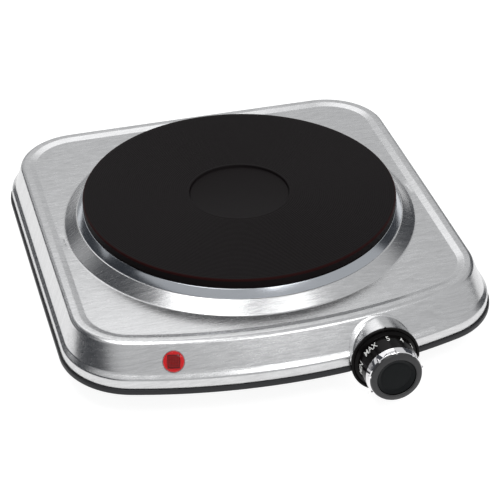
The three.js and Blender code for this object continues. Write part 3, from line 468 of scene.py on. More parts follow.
# %% Profiles with rounded corners
def rounded(corners, steps=4):
    """Replace each corner (a, b, radius) of an open or closed profile with a short arc."""
    points = []
    last = len(corners) - 1
    for i, corner in enumerate(corners):
        here = Vector(corner[:2])
        radius = corner[2] if len(corner) > 2 else 0
        if radius <= 0 or i in (0, last):
            points.append(tuple(here))
            continue
        before = (Vector(corners[i - 1][:2]) - here)
        after = (Vector(corners[i + 1][:2]) - here)
        half = before.angle(after) / 2
        cut = min(radius / math.tan(half), before.length * 0.48, after.length * 0.48)
        start = here + before.normalized() * cut
        end = here + after.normalized() * cut
        for k in range(steps + 1):
            t = k / steps
            points.append(tuple(start * (1 - t) ** 2 + here * 2 * t * (1 - t) + end * t ** 2))
    return points


def edit(obj):
    """Enter edit mode with everything selected."""
    rest()
    obj.select_set(True)
    bpy.context.view_layer.objects.active = obj
    bpy.ops.object.mode_set(mode="EDIT")
    bpy.ops.mesh.select_all(action="SELECT")


def tidy(obj, merge=0.002 * MM):
    """Merge doubles and turn every face out."""
    edit(obj)
    bpy.ops.mesh.remove_doubles(threshold=merge)
    bpy.ops.mesh.dissolve_degenerate(threshold=merge)
    bpy.ops.mesh.select_all(action="SELECT")
    bpy.ops.mesh.normals_make_consistent(inside=False)
    rest()


def apply_all(obj):
    rest()
    obj.select_set(True)
    bpy.context.view_layer.objects.active = obj
    for modifier in list(obj.modifiers):
        bpy.ops.object.modifier_apply(modifier=modifier.name)


def smooth(obj, angle=32):
    rest()
    obj.select_set(True)
    bpy.context.view_layer.objects.active = obj
    bpy.ops.object.shade_smooth_by_angle(angle=math.radians(angle))
    rest()


def turned(name, profile, place=None, steps=96, angle=32):
    """Spin a closed (radius, height) profile round the local Z axis, and set it in its place."""
    rest()
    bpy.ops.mesh.primitive_circle_add(vertices=len(profile), radius=0.01)
    obj = bpy.context.object
    obj.name = name
    for vertex, (radius, height) in zip(obj.data.vertices, profile):
        vertex.co = (radius, 0, height)
    edit(obj)
    bpy.ops.mesh.spin(steps=steps, angle=2 * math.pi, center=(0, 0, 0), axis=(0, 0, 1))
    tidy(obj)
    obj.data.transform(place if place is not None else Matrix.Translation(PLATE_AXIS))
    smooth(obj, angle)
    return obj


def drawn_up(name, rings, cap_ends=False):
    """Extrude a ring through the given rings of points."""
    rest()
    count = len(rings[0])
    bpy.ops.mesh.primitive_circle_add(vertices=count, radius=0.01)
    obj = bpy.context.object
    obj.name = name
    for vertex, point in zip(obj.data.vertices, rings[0]):
        vertex.co = point
    edit(obj)
    for low, high in zip(rings, rings[1:]):
        bpy.ops.mesh.extrude_region_move()
        mesh = bmesh.from_edit_mesh(obj.data)
        goal = {tuple(round(c / MM, 2) for c in p): q for p, q in zip(low, high)}
        for vertex in [v for v in mesh.verts if v.select]:
            vertex.co = goal[tuple(round(c / MM, 2) for c in vertex.co)]
        bmesh.update_edit_mesh(obj.data)
    if cap_ends:
        bpy.ops.mesh.select_all(action="DESELECT")
        bpy.ops.mesh.select_non_manifold(extend=False)
        bpy.ops.mesh.edge_face_add()
    rest()
    return obj


def made(obj, body, slot, material, *replaced):
    """Give a finished piece its material and its body, and hide the nodes it stands for. The slot is not
    used.
    """
    obj.data.materials.clear()
    obj.data.materials.append(material)
    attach(obj, body)
    if replaced:
        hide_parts(*replaced)
    print("%-18s %6d faces" % (obj.name, len(obj.data.polygons)))
    return obj


# %% [markdown]
# ## The housing's outline
#
# Seen from above, the box is a rounded square whose front edge bows out. Each quarter is three
# arcs that meet without a kink: half of a side, a corner and half of an end. Growing the outline
# is easy with arcs, because only the radii change.

# %% Outline
ARC_STEPS = (14, 22, 18)


def quarter(reach, bow, corner, grow):
    """A quarter of the outline, from the middle of its side to the middle of its end."""
    side_radius = (reach ** 2 + SIDE_BOW ** 2) / (2 * SIDE_BOW)
    end_radius = (HALF_WIDTH ** 2 + bow ** 2) / (2 * bow)
    side = Vector((HALF_WIDTH - side_radius, 0))
    end = Vector((0, reach - end_radius))
    link = end - side
    to_side, to_end = side_radius - corner, end_radius - corner
    along = (to_side ** 2 - to_end ** 2 + link.length_squared) / (2 * link.length)
    aside = math.sqrt(max(to_side ** 2 - along ** 2, 0))
    unit = link.normalized()
    bend = side + unit * along + Vector((-unit.y, unit.x)) * aside
    turn_a = math.atan2(bend.y - side.y, bend.x - side.x)
    turn_b = math.atan2(bend.y - end.y, bend.x - end.x)
    arcs = (
        (side, side_radius, 0, turn_a),
        (bend, corner, turn_a, turn_b),
        (end, end_radius, turn_b, math.pi / 2),
    )
    points = []
    for (centre, radius, first, last), steps in zip(arcs, ARC_STEPS):
        reached = radius + grow
        for i in range(steps):
            t = first + (last - first) * i / steps
            points.append((centre.x + reached * math.cos(t), centre.y + reached * math.sin(t)))
    return points


def outline(grow, height):
    """The outline grown outwards at a height; the front wall runs out further as it goes down."""
    share = min(max((WALL_TOP - height) / WALL_HEIGHT, 0), 1)
    front = FRONT_REACH + share * FRONT_SPREAD
    shift = (BACK_REACH - front) / 2 + PLATE_AXIS.y
    half = (BACK_REACH + front) / 2
    back_part = quarter(half, BACK_BOW, BACK_CORNER, grow)
    front_part = quarter(half, FRONT_BOW, FRONT_CORNER, grow)
    top = (0, half + grow)
    loop = list(back_part)
    loop += [(-x, y) for x, y in reversed(back_part[1:] + [top])]
    loop += [(-HALF_WIDTH - grow, 0)]
    loop += [(-x, -y) for x, y in front_part[1:]]
    loop += [(x, -y) for x, y in reversed(front_part[1:] + [top])]
    return [Vector((x, y + shift, height)) for x, y in loop]


HEADINGS = [math.atan2(p.y - PLATE_AXIS.y, p.x) for p in outline(0, WALL_TOP)]


def circle(radius, height):
    """A ring round the plate's axis with one point in each of the outline's directions."""
    return [PLATE_AXIS + Vector((radius * math.cos(a), radius * math.sin(a), height)) for a in HEADINGS]


print("points along the outline:", len(HEADINGS))

# %% [markdown]
# ## Housing
#
# The real housing is one sheet of stainless steel, drawn in a press: a collar round the plate,
# a flat panel, a raised bead along the rim, a sloping wall, and an upright lip at the bottom.
# It is drawn up here from rings, first round the plate and then along the outline, and a Solidify
# modifier gives the sheet its thickness.

# %% Housing shell
TRIM_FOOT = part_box("trim_ring")[0].z
TRIM_RADIUS = (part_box("trim_ring")[1].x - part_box("trim_ring")[0].x) / 2
COLLAR_TOP = TRIM_FOOT - GAP
COLLAR_SPREAD = 7.4 * MM
COLLAR_FOOT = TRIM_RADIUS + COLLAR_SPREAD
RIM_TOP = PANEL + BEAD_RISE

collar = rounded([
    (PLATE_RADIUS - 2 * MM, COLLAR_TOP),
    (TRIM_RADIUS + 0.1 * MM, COLLAR_TOP, 0.7 * MM),
    (COLLAR_FOOT, PANEL, 3.2 * MM),
    (COLLAR_FOOT + 1.9 * MM, PANEL),
], steps=6)
wall = rounded([
    (-BEAD_WIDTH - 1.5 * MM, PANEL),
    (-BEAD_WIDTH + 1.2 * MM, PANEL, 3 * MM),
    (-4.6 * MM, RIM_TOP - 0.1 * MM, 3.5 * MM),
    (-1.6 * MM, RIM_TOP, 1.2 * MM),
    (0, WALL_TOP, 1.5 * MM),
    (WALL_SPREAD, WALL_FOOT, 2.2 * MM),
    (LIP_OUT, LIP_TOP, 1.6 * MM),
    (LIP_OUT, LIP_FOOT),
], steps=5)
rings = [circle(r, h) for r, h in collar] + [outline(g, h) for g, h in wall]
housing = drawn_up("housing_shell", rings)
skin = housing.modifiers.new("sheet", "SOLIDIFY")
skin.thickness = SKIN
skin.offset = 1
tidy(housing)
apply_all(housing)

# %% [markdown]
# ## Boss behind the knob
#
# The sheet is drawn forward into a round boss, so that the knob stands upright although the wall
# slopes. Its face is flat, its edge is rounded, and where it meets the wall it flares out in a soft
# fillet.

# %% The knob's own directions
turn_joint = next(j for j in frame["joints"] if j["name"] == "knob_turn")
KNOB_AT = Vector(turn_joint["pos_m"])
KNOB_AXIS = Vector(turn_joint["axis"]).normalized()
KNOB_RIGHT = Vector((1, 0, 0))
KNOB_UP = KNOB_AXIS.cross(KNOB_RIGHT)
KNOB_PLACE = Matrix.Translation(KNOB_AT) @ Matrix((KNOB_RIGHT, KNOB_UP, KNOB_AXIS)).transposed().to_4x4()
BOSS_RADIUS, BOSS_FACE, BOSS_BACK = 18 * MM, -2.4 * MM, -24 * MM


def on_boss(angle, radius, depth):
    """A point beside the knob's axis; the angle runs clockwise from the top, seen from the front."""
    return KNOB_PLACE @ Vector((radius * math.sin(angle), radius * math.cos(angle), depth))


print("knob at", [round(c / MM, 1) for c in KNOB_AT], "mm")

# %% [markdown]
# The boss is drawn up as rings too, from the hole for the spindle over the face and the rounded
# edge. Behind the edge, each line of points is followed back to the wall by looking for the wall
# along the knob's axis. There the fillet bends outwards and lands on the wall. Below the lip there
# is no wall, so the lines simply run back.

# %% Boss
BOSS_LINES, FILLET_STEPS, EDGE_STEPS = 120, 8, 4
EDGE_ROUND, SPINDLE_HOLE = 1.1 * MM, 3.8 * MM
SMALL_FILLET, WIDE_FILLET, LEAST_FILLET = 0.9 * MM, 1.6 * MM, 0.3 * MM

skin_tree = BVHTree.FromObject(housing, bpy.context.evaluated_depsgraph_get())


def wall_depth(angle, radius):
    """How far behind the knob's origin the wall lies, or None where there is no wall."""
    in_front, reach = 6 * MM, 60 * MM
    hit = skin_tree.ray_cast(on_boss(angle, radius, in_front), -KNOB_AXIS, reach)[0]
    if hit is None or hit.y > plate_low.y:
        return None
    return (hit - KNOB_AT).dot(KNOB_AXIS)


def flare(angle):
    """How wide the fillet is: widest beside the top, and nothing below the lip."""
    height = on_boss(angle, BOSS_RADIUS, BOSS_FACE).z
    above_lip = min(max((height - LIP_FOOT - 0.5 * MM) / (3 * MM), 0), 1)
    soft = SMALL_FILLET + WIDE_FILLET * max(0, math.cos(angle + 0.8)) ** 6
    return soft * above_lip


face_profile = [
    (SPINDLE_HOLE, BOSS_FACE - SKIN),
    (SPINDLE_HOLE, BOSS_FACE),
    (BOSS_RADIUS - EDGE_ROUND, BOSS_FACE),
]
for i in range(1, EDGE_STEPS + 1):
    t = i / EDGE_STEPS * math.pi / 2
    beside = BOSS_RADIUS - EDGE_ROUND + EDGE_ROUND * math.sin(t)
    face_profile.append((beside, BOSS_FACE - EDGE_ROUND + EDGE_ROUND * math.cos(t)))
boss_rings = [[] for _ in range(len(face_profile) + 2 + FILLET_STEPS)]
for i in range(BOSS_LINES):
    angle = 2 * math.pi * i / BOSS_LINES
    width = flare(angle)
    reach = BOSS_RADIUS + width
    deep = wall_depth(angle, reach)
    while deep is None and reach > BOSS_RADIUS - 2 * MM and on_boss(angle, reach, BOSS_FACE).z > PANEL:
        reach -= 0.1 * MM
        deep = wall_depth(angle, reach)
    column = [on_boss(angle, r, d) for r, d in face_profile]
    if deep is None or on_boss(angle, BOSS_RADIUS, BOSS_FACE).z < LIP_FOOT:
        step = (BOSS_BACK - BOSS_FACE) / (FILLET_STEPS + 2)
        spots = [(BOSS_RADIUS, BOSS_FACE - 2 * MM + step * k) for k in range(FILLET_STEPS + 2)]
    else:
        foot = min(BOSS_RADIUS, reach)
        spots = []
        for k in range(FILLET_STEPS + 1):
            t = k / FILLET_STEPS * math.pi / 2
            radius = foot + (reach - foot) * (1 - math.cos(t))
            there = wall_depth(angle, radius) or deep
            spots.append((radius, there + max(width, LEAST_FILLET) * (1 - math.sin(t)) - 0.04 * MM))
        spots.append((reach - 0.2 * MM, deep - 0.6 * MM))
    column += [on_boss(angle, r, d) for r, d in spots]
    for ring, point in zip(boss_rings, column):
        ring.append(point)
boss = drawn_up("boss", boss_rings)
skin = boss.modifiers.new("sheet", "SOLIDIFY")
skin.thickness = SKIN
skin.offset = 1
tidy(boss)
apply_all(boss)


# %% [markdown]
# The wall is opened behind the boss, and where the cord's gland passes through it. Each opening
# is a cylinder taken away with a Boolean modifier. Then the boss is joined to the sheet.

# %% Openings and join
def take_away(obj, *tools):
    """Cut tools out of a piece, and remove the tools."""
    for tool in tools:
        modifier = obj.modifiers.new("cut", "BOOLEAN")
        modifier.operation = "DIFFERENCE"
        modifier.solver = "EXACT"
        modifier.object = tool
        apply_all(obj)
        bpy.data.objects.remove(tool)


def plug(radius, low, high, place, sides=48):
    """A cylinder between two heights on a local Z axis."""
    rest()
    bpy.ops.mesh.primitive_cylinder_add(vertices=sides, radius=radius, depth=high - low)
    tool = bpy.context.object
    tool.data.transform(place @ Matrix.Translation((0, 0, (low + high) / 2)))
    return tool


def half_width(name):
    low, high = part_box(name)
    return (high.x - low.x) / 2


GLAND_HOLE = 5.0 * MM
gland_low, gland_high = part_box("cord_gland")
GLAND_AT = Vector(((gland_low.x + gland_high.x) / 2, gland_high.y, (gland_low.z + gland_high.z) / 2))
GLAND_PLACE = Matrix.Translation(GLAND_AT) @ Matrix.Rotation(-math.pi / 2, 4, "X")
take_away(
    housing,
    plug(BOSS_RADIUS - 1.3 * MM, BOSS_BACK, BOSS_FACE + 0.5 * MM, KNOB_PLACE),
    plug(GLAND_HOLE, -20 * MM, 5 * MM, GLAND_PLACE),
)


def join(*pieces):
    """Join pieces into the first one."""
    rest()
    for piece in pieces:
        piece.select_set(True)
    bpy.context.view_layer.objects.active = pieces[0]
    bpy.ops.object.join()
    return pieces[0]


join(housing, boss)
smooth(housing, 38)
made(housing, "base", "housing_steel", STEEL, "housing")

# %% [markdown]
# ## Hot plate
#
# The plate is one casting: a thick disc with a shallow round recess in the middle and fine tool
# marks over the whole face. The recess and each groove are part of the profile that is spun, so
# they are real grooves that catch the light.

# %% Hot plate
NEAR_AXIS = 0.02 * MM
RECESS_RADIUS, RECESS_DEPTH = 29.4 * MM, 1.6 * MM
GROOVE_PITCH, GROOVE_DEPTH = 1.25 * MM, 0.13 * MM
WAIST = PLATE_RADIUS - 3.5 * MM
FLANGE_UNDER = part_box("trim_ring")[1].z + GAP
RECESS_FLOOR = PLATE_TOP - RECESS_DEPTH
RIM_UNDER, COIL_ROOF = plate_low.z + 6 * MM, plate_low.z + 11 * MM
COIL_OUT, COIL_IN = 79.7 * MM, 42 * MM
SEAT_RADIUS, STUD_HOLE, STUD_DEPTH = 11 * MM, 4.3 * MM, 3 * MM

plate_profile = [
    (NEAR_AXIS, RECESS_FLOOR),
    (RECESS_RADIUS - 1.1 * MM, RECESS_FLOOR),
    (RECESS_RADIUS - 0.4 * MM, RECESS_FLOOR + 0.25 * MM),
    (RECESS_RADIUS, PLATE_TOP - 0.35 * MM),
    (RECESS_RADIUS + 0.2 * MM, PLATE_TOP - 0.08 * MM),
    (RECESS_RADIUS + 0.7 * MM, PLATE_TOP),
]
radius = RECESS_RADIUS + 1.4 * MM
while radius < PLATE_RADIUS - 2 * MM:
    plate_profile += [
        (radius, PLATE_TOP),
        (radius + 0.35 * GROOVE_PITCH, PLATE_TOP - GROOVE_DEPTH),
        (radius + 0.6 * GROOVE_PITCH, PLATE_TOP - GROOVE_DEPTH * 0.8),
    ]
    radius += GROOVE_PITCH
plate_profile += [
    (PLATE_RADIUS - 1.0 * MM, PLATE_TOP),
    (PLATE_RADIUS - 0.4 * MM, PLATE_TOP - 0.2 * MM),
    (PLATE_RADIUS, PLATE_TOP - 0.8 * MM),
    (PLATE_RADIUS, FLANGE_UNDER + 0.3 * MM),
    (PLATE_RADIUS - 0.3 * MM, FLANGE_UNDER),
    (WAIST, FLANGE_UNDER),
    (WAIST, RIM_UNDER + 1 * MM),
    (WAIST - 1 * MM, RIM_UNDER),
    (COIL_OUT, RIM_UNDER),
    (COIL_OUT, COIL_ROOF),
    (COIL_IN, COIL_ROOF),
    (COIL_IN, RIM_UNDER),
    (SEAT_RADIUS + 1 * MM, RIM_UNDER),
    (SEAT_RADIUS, plate_low.z),
    (STUD_HOLE, plate_low.z),
    (STUD_HOLE, RECESS_FLOOR - STUD_DEPTH),
    (NEAR_AXIS, RECESS_FLOOR - STUD_DEPTH),
]
hotplate = turned("hotplate_turned", plate_profile, steps=160, angle=24)
made(hotplate, "base", "plate_iron", IRON, "hotplate")

# %% [markdown]
# ## Trim ring
#
# A polished band sits between the plate and the collar. Its steep side mirrors the room, and its
# rolled top edge draws a thin bright line under the plate.

# %% Trim ring
TRIM_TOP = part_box("trim_ring")[1].z
trim_profile = rounded([
    (WAIST + GAP, TRIM_TOP - 0.6 * MM),
    (PLATE_RADIUS - 0.9 * MM, TRIM_TOP - 0.6 * MM),
    (TRIM_RADIUS - 0.6 * MM, TRIM_FOOT),
    (TRIM_RADIUS, TRIM_FOOT, 0.1 * MM),
    (TRIM_RADIUS - 0.15 * MM, TRIM_FOOT + 0.7 * MM, 0.3 * MM),
    (PLATE_RADIUS + 0.25 * MM, TRIM_TOP, 0.6 * MM),
    (WAIST + GAP, TRIM_TOP),
])
trim = turned("trim_band", trim_profile, steps=160, angle=40)
made(trim, "base", "trim_steel", TRIM, "trim_ring")

# %% [markdown]
# ## Base pan
#
# A black painted tray closes the box from below. Its edge stands a little proud of the steel lip,
# its floor is set deeper, and rows of slots let the heat out. It is cut away round the boss.

# %% Base pan
PAN_PROUD, PAN_EDGE, PAN_WALL, PAN_INSET = 2.2 * MM, 3.4 * MM, 1 * MM, 14 * MM
SPIGOT_RISE = 3 * MM
PAN_OUT = LIP_OUT + PAN_PROUD
PAN_TOP = LIP_FOOT - GAP
PAN_FOOT = PAN_TOP - PAN_EDGE
FLOOR_UNDER = pan_low.z
FLOOR_TOP = FLOOR_UNDER + PAN_WALL
spigot = LIP_OUT - SKIN - GAP
edge = PAN_OUT - PAN_INSET
pan_profile = rounded([
    (edge, FLOOR_UNDER),
    (edge + 0.6 * MM, FLOOR_UNDER, 0.5 * MM),
    (edge + 5 * MM, PAN_FOOT, 1.5 * MM),
    (PAN_OUT, PAN_FOOT, 1.2 * MM),
    (PAN_OUT - 0.3 * MM, PAN_TOP, 0.7 * MM),
    (spigot, PAN_TOP, 0.2 * MM),
    (spigot, PAN_TOP + SPIGOT_RISE),
    (spigot - PAN_WALL, PAN_TOP + SPIGOT_RISE),
    (spigot - PAN_WALL, PAN_FOOT + PAN_WALL, 1 * MM),
    (edge + 4 * MM, PAN_FOOT + PAN_WALL, 1 * MM),
    (edge - 0.4 * MM, FLOOR_TOP, 0.5 * MM),
    (edge - 1 * MM, FLOOR_TOP),
])
pan = drawn_up("pan", [outline(g, h) for g, h in pan_profile], cap_ends=True)
tidy(pan)
VENT_WIDTH, VENT_LENGTH, VENT_PITCH, VENT_ROW = 3.6 * MM, 32 * MM, 13 * MM, 66 * MM
VENT_STRAIGHT = VENT_LENGTH - VENT_WIDTH
CUT_HIGH = 12 * MM
pan_middle = (pan_low.y + pan_high.y) / 2
slots = []
for side in (-1, 1):
    row_y = pan_middle + side * VENT_ROW
    for i in range(-2, 3):
        x = i * VENT_PITCH
        for end in (-1, 1):
            y = row_y + end * VENT_STRAIGHT / 2
            slots.append(plug(VENT_WIDTH / 2, 0, CUT_HIGH, Matrix.Translation((x, y, 0)), 20))
        rest()
        bpy.ops.mesh.primitive_cube_add(size=1, location=(x, row_y, CUT_HIGH / 2))
        slot = bpy.context.object
        slot.scale = (VENT_WIDTH, VENT_STRAIGHT, CUT_HIGH)
        bpy.ops.object.transform_apply(location=True, rotation=True, scale=True)
        slots.append(slot)
take_away(pan, *slots)
take_away(
    pan,
    plug(half_width("knob_body") + 1 * MM, BOSS_FACE, 3 * MM, KNOB_PLACE, 64),
    plug(BOSS_RADIUS + GAP, -15 * MM, 1 * MM, KNOB_PLACE, 64),
)
smooth(pan, 35)
made(pan, "base", "base_paint", PAN_PAINT, "base_pan")

# %% [markdown]
# ## Knob
#
# The knob is a black moulding with a thin skirt, a barrel that carries the numbers, and a bright
# ring round its nose. Everything is turned about the knob's own axis and placed by the joint.

# %% Knob body
SKIRT = half_width("knob_body")
BARREL = half_width("knob_trim") - 0.1 * MM
CAP = half_width("knob_cap")
KNOB_LENGTH, RING_LENGTH, CAP_SET, CAP_THICK = 19.2 * MM, 6 * MM, 1.2 * MM, 1.5 * MM
RING_FOOT = KNOB_LENGTH - RING_LENGTH
CAP_FRONT = KNOB_LENGTH - CAP_SET
CAP_BACK = CAP_FRONT - CAP_THICK
SKIRT_THICK = 1.9 * MM
BARREL_FOOT, BARREL_FLARE, BARREL_NECK = 0.7 * MM, 0.3 * MM, 0.2 * MM
RING_SEAT = BARREL - 2.1 * MM
SPINDLE_BORE, HUB_RADIUS, BORE_END = 3.7 * MM, 5 * MM, 11.5 * MM
knob_profile = rounded([
    (SPINDLE_BORE, -1 * MM),
    (HUB_RADIUS, -1 * MM),
    (HUB_RADIUS, 8 * MM),
    (BARREL - 2.6 * MM, 9 * MM),
    (BARREL - 1.8 * MM, -0.4 * MM),
    (SKIRT - 1.6 * MM, -0.9 * MM),
    (SKIRT - 1.1 * MM, -SKIRT_THICK),
    (SKIRT, -SKIRT_THICK, 0.3 * MM),
    (SKIRT, 0, 0.5 * MM),
    (SKIRT - 1.3 * MM, 0, 0.2 * MM),
    (SKIRT - 1.9 * MM, -0.45 * MM, 0.3 * MM),
    (BARREL + BARREL_FLARE, BARREL_FOOT, 0.5 * MM),
    (BARREL - BARREL_NECK, RING_FOOT - GAP),
    (RING_SEAT, RING_FOOT - GAP),
    (RING_SEAT, CAP_FRONT, 0.2 * MM),
    (CAP + 0.5 * MM, KNOB_LENGTH - 0.7 * MM, 0.3 * MM),
    (CAP + GAP, KNOB_LENGTH - 0.9 * MM, 0.2 * MM),
    (CAP + GAP, CAP_BACK),
    (NEAR_AXIS, CAP_BACK),
    (NEAR_AXIS, BORE_END),
    (SPINDLE_BORE, BORE_END),
])
knob_body = turned("knob_moulding", knob_profile, KNOB_PLACE, steps=96)


def ridge(half, foot, rise, low, high, heading):
    """A small pointed rib along the knob, from a low to a high place on its axis."""
    rest()
    bpy.ops.mesh.primitive_cube_add(size=1)
    rib = bpy.context.object
    for vertex in rib.data.vertices:
        out = vertex.co.y > 0
        ahead = vertex.co.z > 0
        slope = 0.25 * (high - low) if out else 0
        vertex.co = (
            math.copysign(half * (0.12 if out else 1), vertex.co.x),
            foot + (rise if out else -0.3 * MM),
            high - slope if ahead else low + slope,
        )
    rib.data.transform(KNOB_PLACE @ Matrix.Rotation(-math.radians(heading), 4, "Z"))
    return rib


join(knob_body, ridge(1.2 * MM, SKIRT, 0.7 * MM, -1.8 * MM, -0.1 * MM, 0))
smooth(knob_body, 32)
made(knob_body, "knob", "knob_plastic", GLOSS_BLACK, "knob_body")

# %% [markdown]
# The bright ring is a separate plated band with small pointed ribs for the fingers. It narrows
# towards the nose, and it ends behind the bezel.

# %% Knob ring with ribs
RIBS, RIB_HALF, RIB_RISE = 9, 0.7 * MM, 0.9 * MM
RING_IN, RING_FRONT = BARREL - 1.8 * MM, KNOB_LENGTH - 1.9 * MM
ring_profile = rounded([
    (RING_IN, RING_FOOT),
    (BARREL + 0.1 * MM, RING_FOOT, 0.15 * MM),
    (BARREL - 0.65 * MM, RING_FRONT - 0.4 * MM, 0.4 * MM),
    (BARREL - 1.1 * MM, RING_FRONT),
    (RING_IN, RING_FRONT),
])
knob_ring = turned("knob_ring", ring_profile, KNOB_PLACE, steps=96)
rib_low, rib_high = RING_FOOT + 1.6 * MM, KNOB_LENGTH - 1.3 * MM
ribs = [
    ridge(RIB_HALF, BARREL - RIB_RISE, RIB_RISE, rib_low, rib_high, i * 360 / RIBS)
    for i in range(RIBS)
]
join(knob_ring, *ribs)
smooth(knob_ring, 35)
made(knob_ring, "knob", "knob_chrome", CHROME, "knob_trim")

# %% [markdown]
# The nose is closed by a dished black cap. A bezel in dark grey surrounds it.

# %% Cap and bezel
cap_profile = rounded([
    (NEAR_AXIS, CAP_BACK + GAP),
    (CAP, CAP_BACK + GAP),
    (CAP, CAP_FRONT + 0.1 * MM, 0.25 * MM),
    (CAP - 0.5 * MM, CAP_FRONT + 0.1 * MM, 0.2 * MM),
    (CAP - 2.2 * MM, CAP_FRONT - 0.75 * MM, 0.5 * MM),
    (CAP - 3.2 * MM, CAP_FRONT - 0.45 * MM, 0.4 * MM),
    (NEAR_AXIS, CAP_FRONT - 0.25 * MM),
])
cap = turned("knob_nose", cap_profile, KNOB_PLACE, steps=80)
made(cap, "knob", "knob_cap_plastic", CAP_BLACK, "knob_cap")
bezel_profile = rounded([
    (CAP + 0.1 * MM, KNOB_LENGTH - 0.6 * MM),
    (CAP + 0.5 * MM, KNOB_LENGTH - 0.03 * MM, 0.2 * MM),
    (CAP + 1.4 * MM, KNOB_LENGTH - 0.2 * MM, 0.3 * MM),
    (BARREL - 1.5 * MM, KNOB_LENGTH - 0.7 * MM, 0.5 * MM),
    (BARREL - 1.0 * MM, KNOB_LENGTH - 2.0 * MM),
    (BARREL - 1.7 * MM, KNOB_LENGTH - 2.0 * MM),
    (BARREL - 1.9 * MM, KNOB_LENGTH - 1.0 * MM),
    (CAP + 0.3 * MM, KNOB_LENGTH - 1.0 * MM),
])
bezel = turned("knob_bezel", bezel_profile, KNOB_PLACE, steps=96)
made(bezel, "knob", "knob_cap_plastic", BEZEL_GREY)

# %% [markdown]
# ## Numbers on the dial
#
# The marks are printed on the barrel. Each one starts as text, becomes a thin mesh, and is then
# wrapped round the barrel: what was its width becomes an angle, and what was its height runs along
# the barrel. The barrel is slightly conical, so the marks follow its slope.

# %% Marks
MARK_SIZE, MARK_THICK, MARK_MIDDLE = 4.1 * MM, 0.05 * MM, 4.7 * MM
MARK_STRETCH, MARK_BOLD, MARK_LIFT = 1.4, 0.02 * MM, 0.07 * MM
BARREL_SLOPE = (BARREL_FLARE + BARREL_NECK) / (RING_FOOT - GAP - BARREL_FOOT)
MARKS = {"5": -1, "4": 27, "3": 55, "2": 83, "1": 111, "MAX": -42, "MIN": -87}
for word, heading in MARKS.items():
    rest()
    bpy.ops.object.text_add()
    mark = bpy.context.object
    mark.data.body = word
    mark.data.size = MARK_SIZE
    mark.data.extrude = MARK_THICK
    mark.data.offset = MARK_BOLD
    mark.data.align_x = "CENTER"
    bpy.ops.object.convert(target="MESH")
    mark.name = "mark_" + word.lower()
    edit(mark)
    bpy.ops.mesh.subdivide(number_cuts=2)
    rest()
    middle_line = sum(v.co.y for v in mark.data.vertices) / len(mark.data.vertices)
    for vertex in mark.data.vertices:
        angle = math.radians(heading) + vertex.co.x / BARREL
        along = MARK_MIDDLE - (vertex.co.y - middle_line) * MARK_STRETCH
        surface = BARREL + BARREL_FLARE - BARREL_SLOPE * (along - BARREL_FOOT)
        out = surface + MARK_LIFT + vertex.co.z
        vertex.co = (out * math.sin(angle), out * math.cos(angle), along)
    mark.data.transform(KNOB_PLACE)
    tidy(mark)
    made(mark, "knob", "white_plastic", MARK_WHITE)

# %% [markdown]
# ## Signal lamp
#
# A clear red lens sits on the sloped wall. Behind it lies a square moulded with rows of small
# ridges, which spread the light of the neon bulb.

# %% Lamp
LAMP_RADIUS, LAMP_STEM, LAMP_BORE, STEM_BACK = 6.1 * MM, 4.6 * MM, 3.8 * MM, -9 * MM
LAMP_X, LAMP_HEIGHT = -69.2 * MM, 32.4 * MM


def wall_frame(x, height):
    """A place on the front wall with Z straight out of the wall and Y up along it."""
    def wall_point(px, pz):
        return skin_tree.ray_cast(Vector((px, shell_low.y - 20 * MM, pz)), Vector((0, 1, 0)), 0.1)[0]

    here = wall_point(x, height)
    aside = (wall_point(x + 3 * MM, height) - wall_point(x - 3 * MM, height)).normalized()
    uphill = (wall_point(x, height + 3 * MM) - wall_point(x, height - 3 * MM)).normalized()
    out = aside.cross(uphill).normalized()
    uphill = out.cross(aside).normalized()
    return Matrix.Translation(here) @ Matrix((aside, uphill, out)).transposed().to_4x4()


LAMP_PLACE = wall_frame(LAMP_X, LAMP_HEIGHT)
lens_profile = rounded([
    (LAMP_BORE, STEM_BACK),
    (LAMP_STEM, STEM_BACK),
    (LAMP_STEM, 0.15 * MM),
    (LAMP_RADIUS, 0.15 * MM, 0.1 * MM),
    (LAMP_RADIUS, 1.0 * MM, 0.5 * MM),
    (LAMP_RADIUS - 1.0 * MM, 1.8 * MM, 1.0 * MM),
    (LAMP_RADIUS - 3 * MM, 2.2 * MM, 1.0 * MM),
    (NEAR_AXIS, 2.3 * MM),
    (NEAR_AXIS, 1.95 * MM),
    (LAMP_BORE, 1.7 * MM),
    (LAMP_BORE, STEM_BACK),
])
lens = turned("lens", lens_profile, LAMP_PLACE, steps=64)
made(lens, "base", "lens_red", LENS_RED, "lamp_lens")

SEAT_OUT, SEAT_BACK, SEAT_FRONT = 5.6 * MM, 0.2 * MM, 0.45 * MM
seat_profile = [
    (NEAR_AXIS, SEAT_BACK),
    (SEAT_OUT, SEAT_BACK),
    (SEAT_OUT, SEAT_FRONT),
    (NEAR_AXIS, SEAT_FRONT),
]
lens_seat = turned("lens_seat", seat_profile, LAMP_PLACE, steps=48)
made(lens_seat, "base", "lens_red", LENS_SEAT)

# %% [markdown]
# The square moulding is a dark red block. Its ridges are small pyramids in a brighter red.

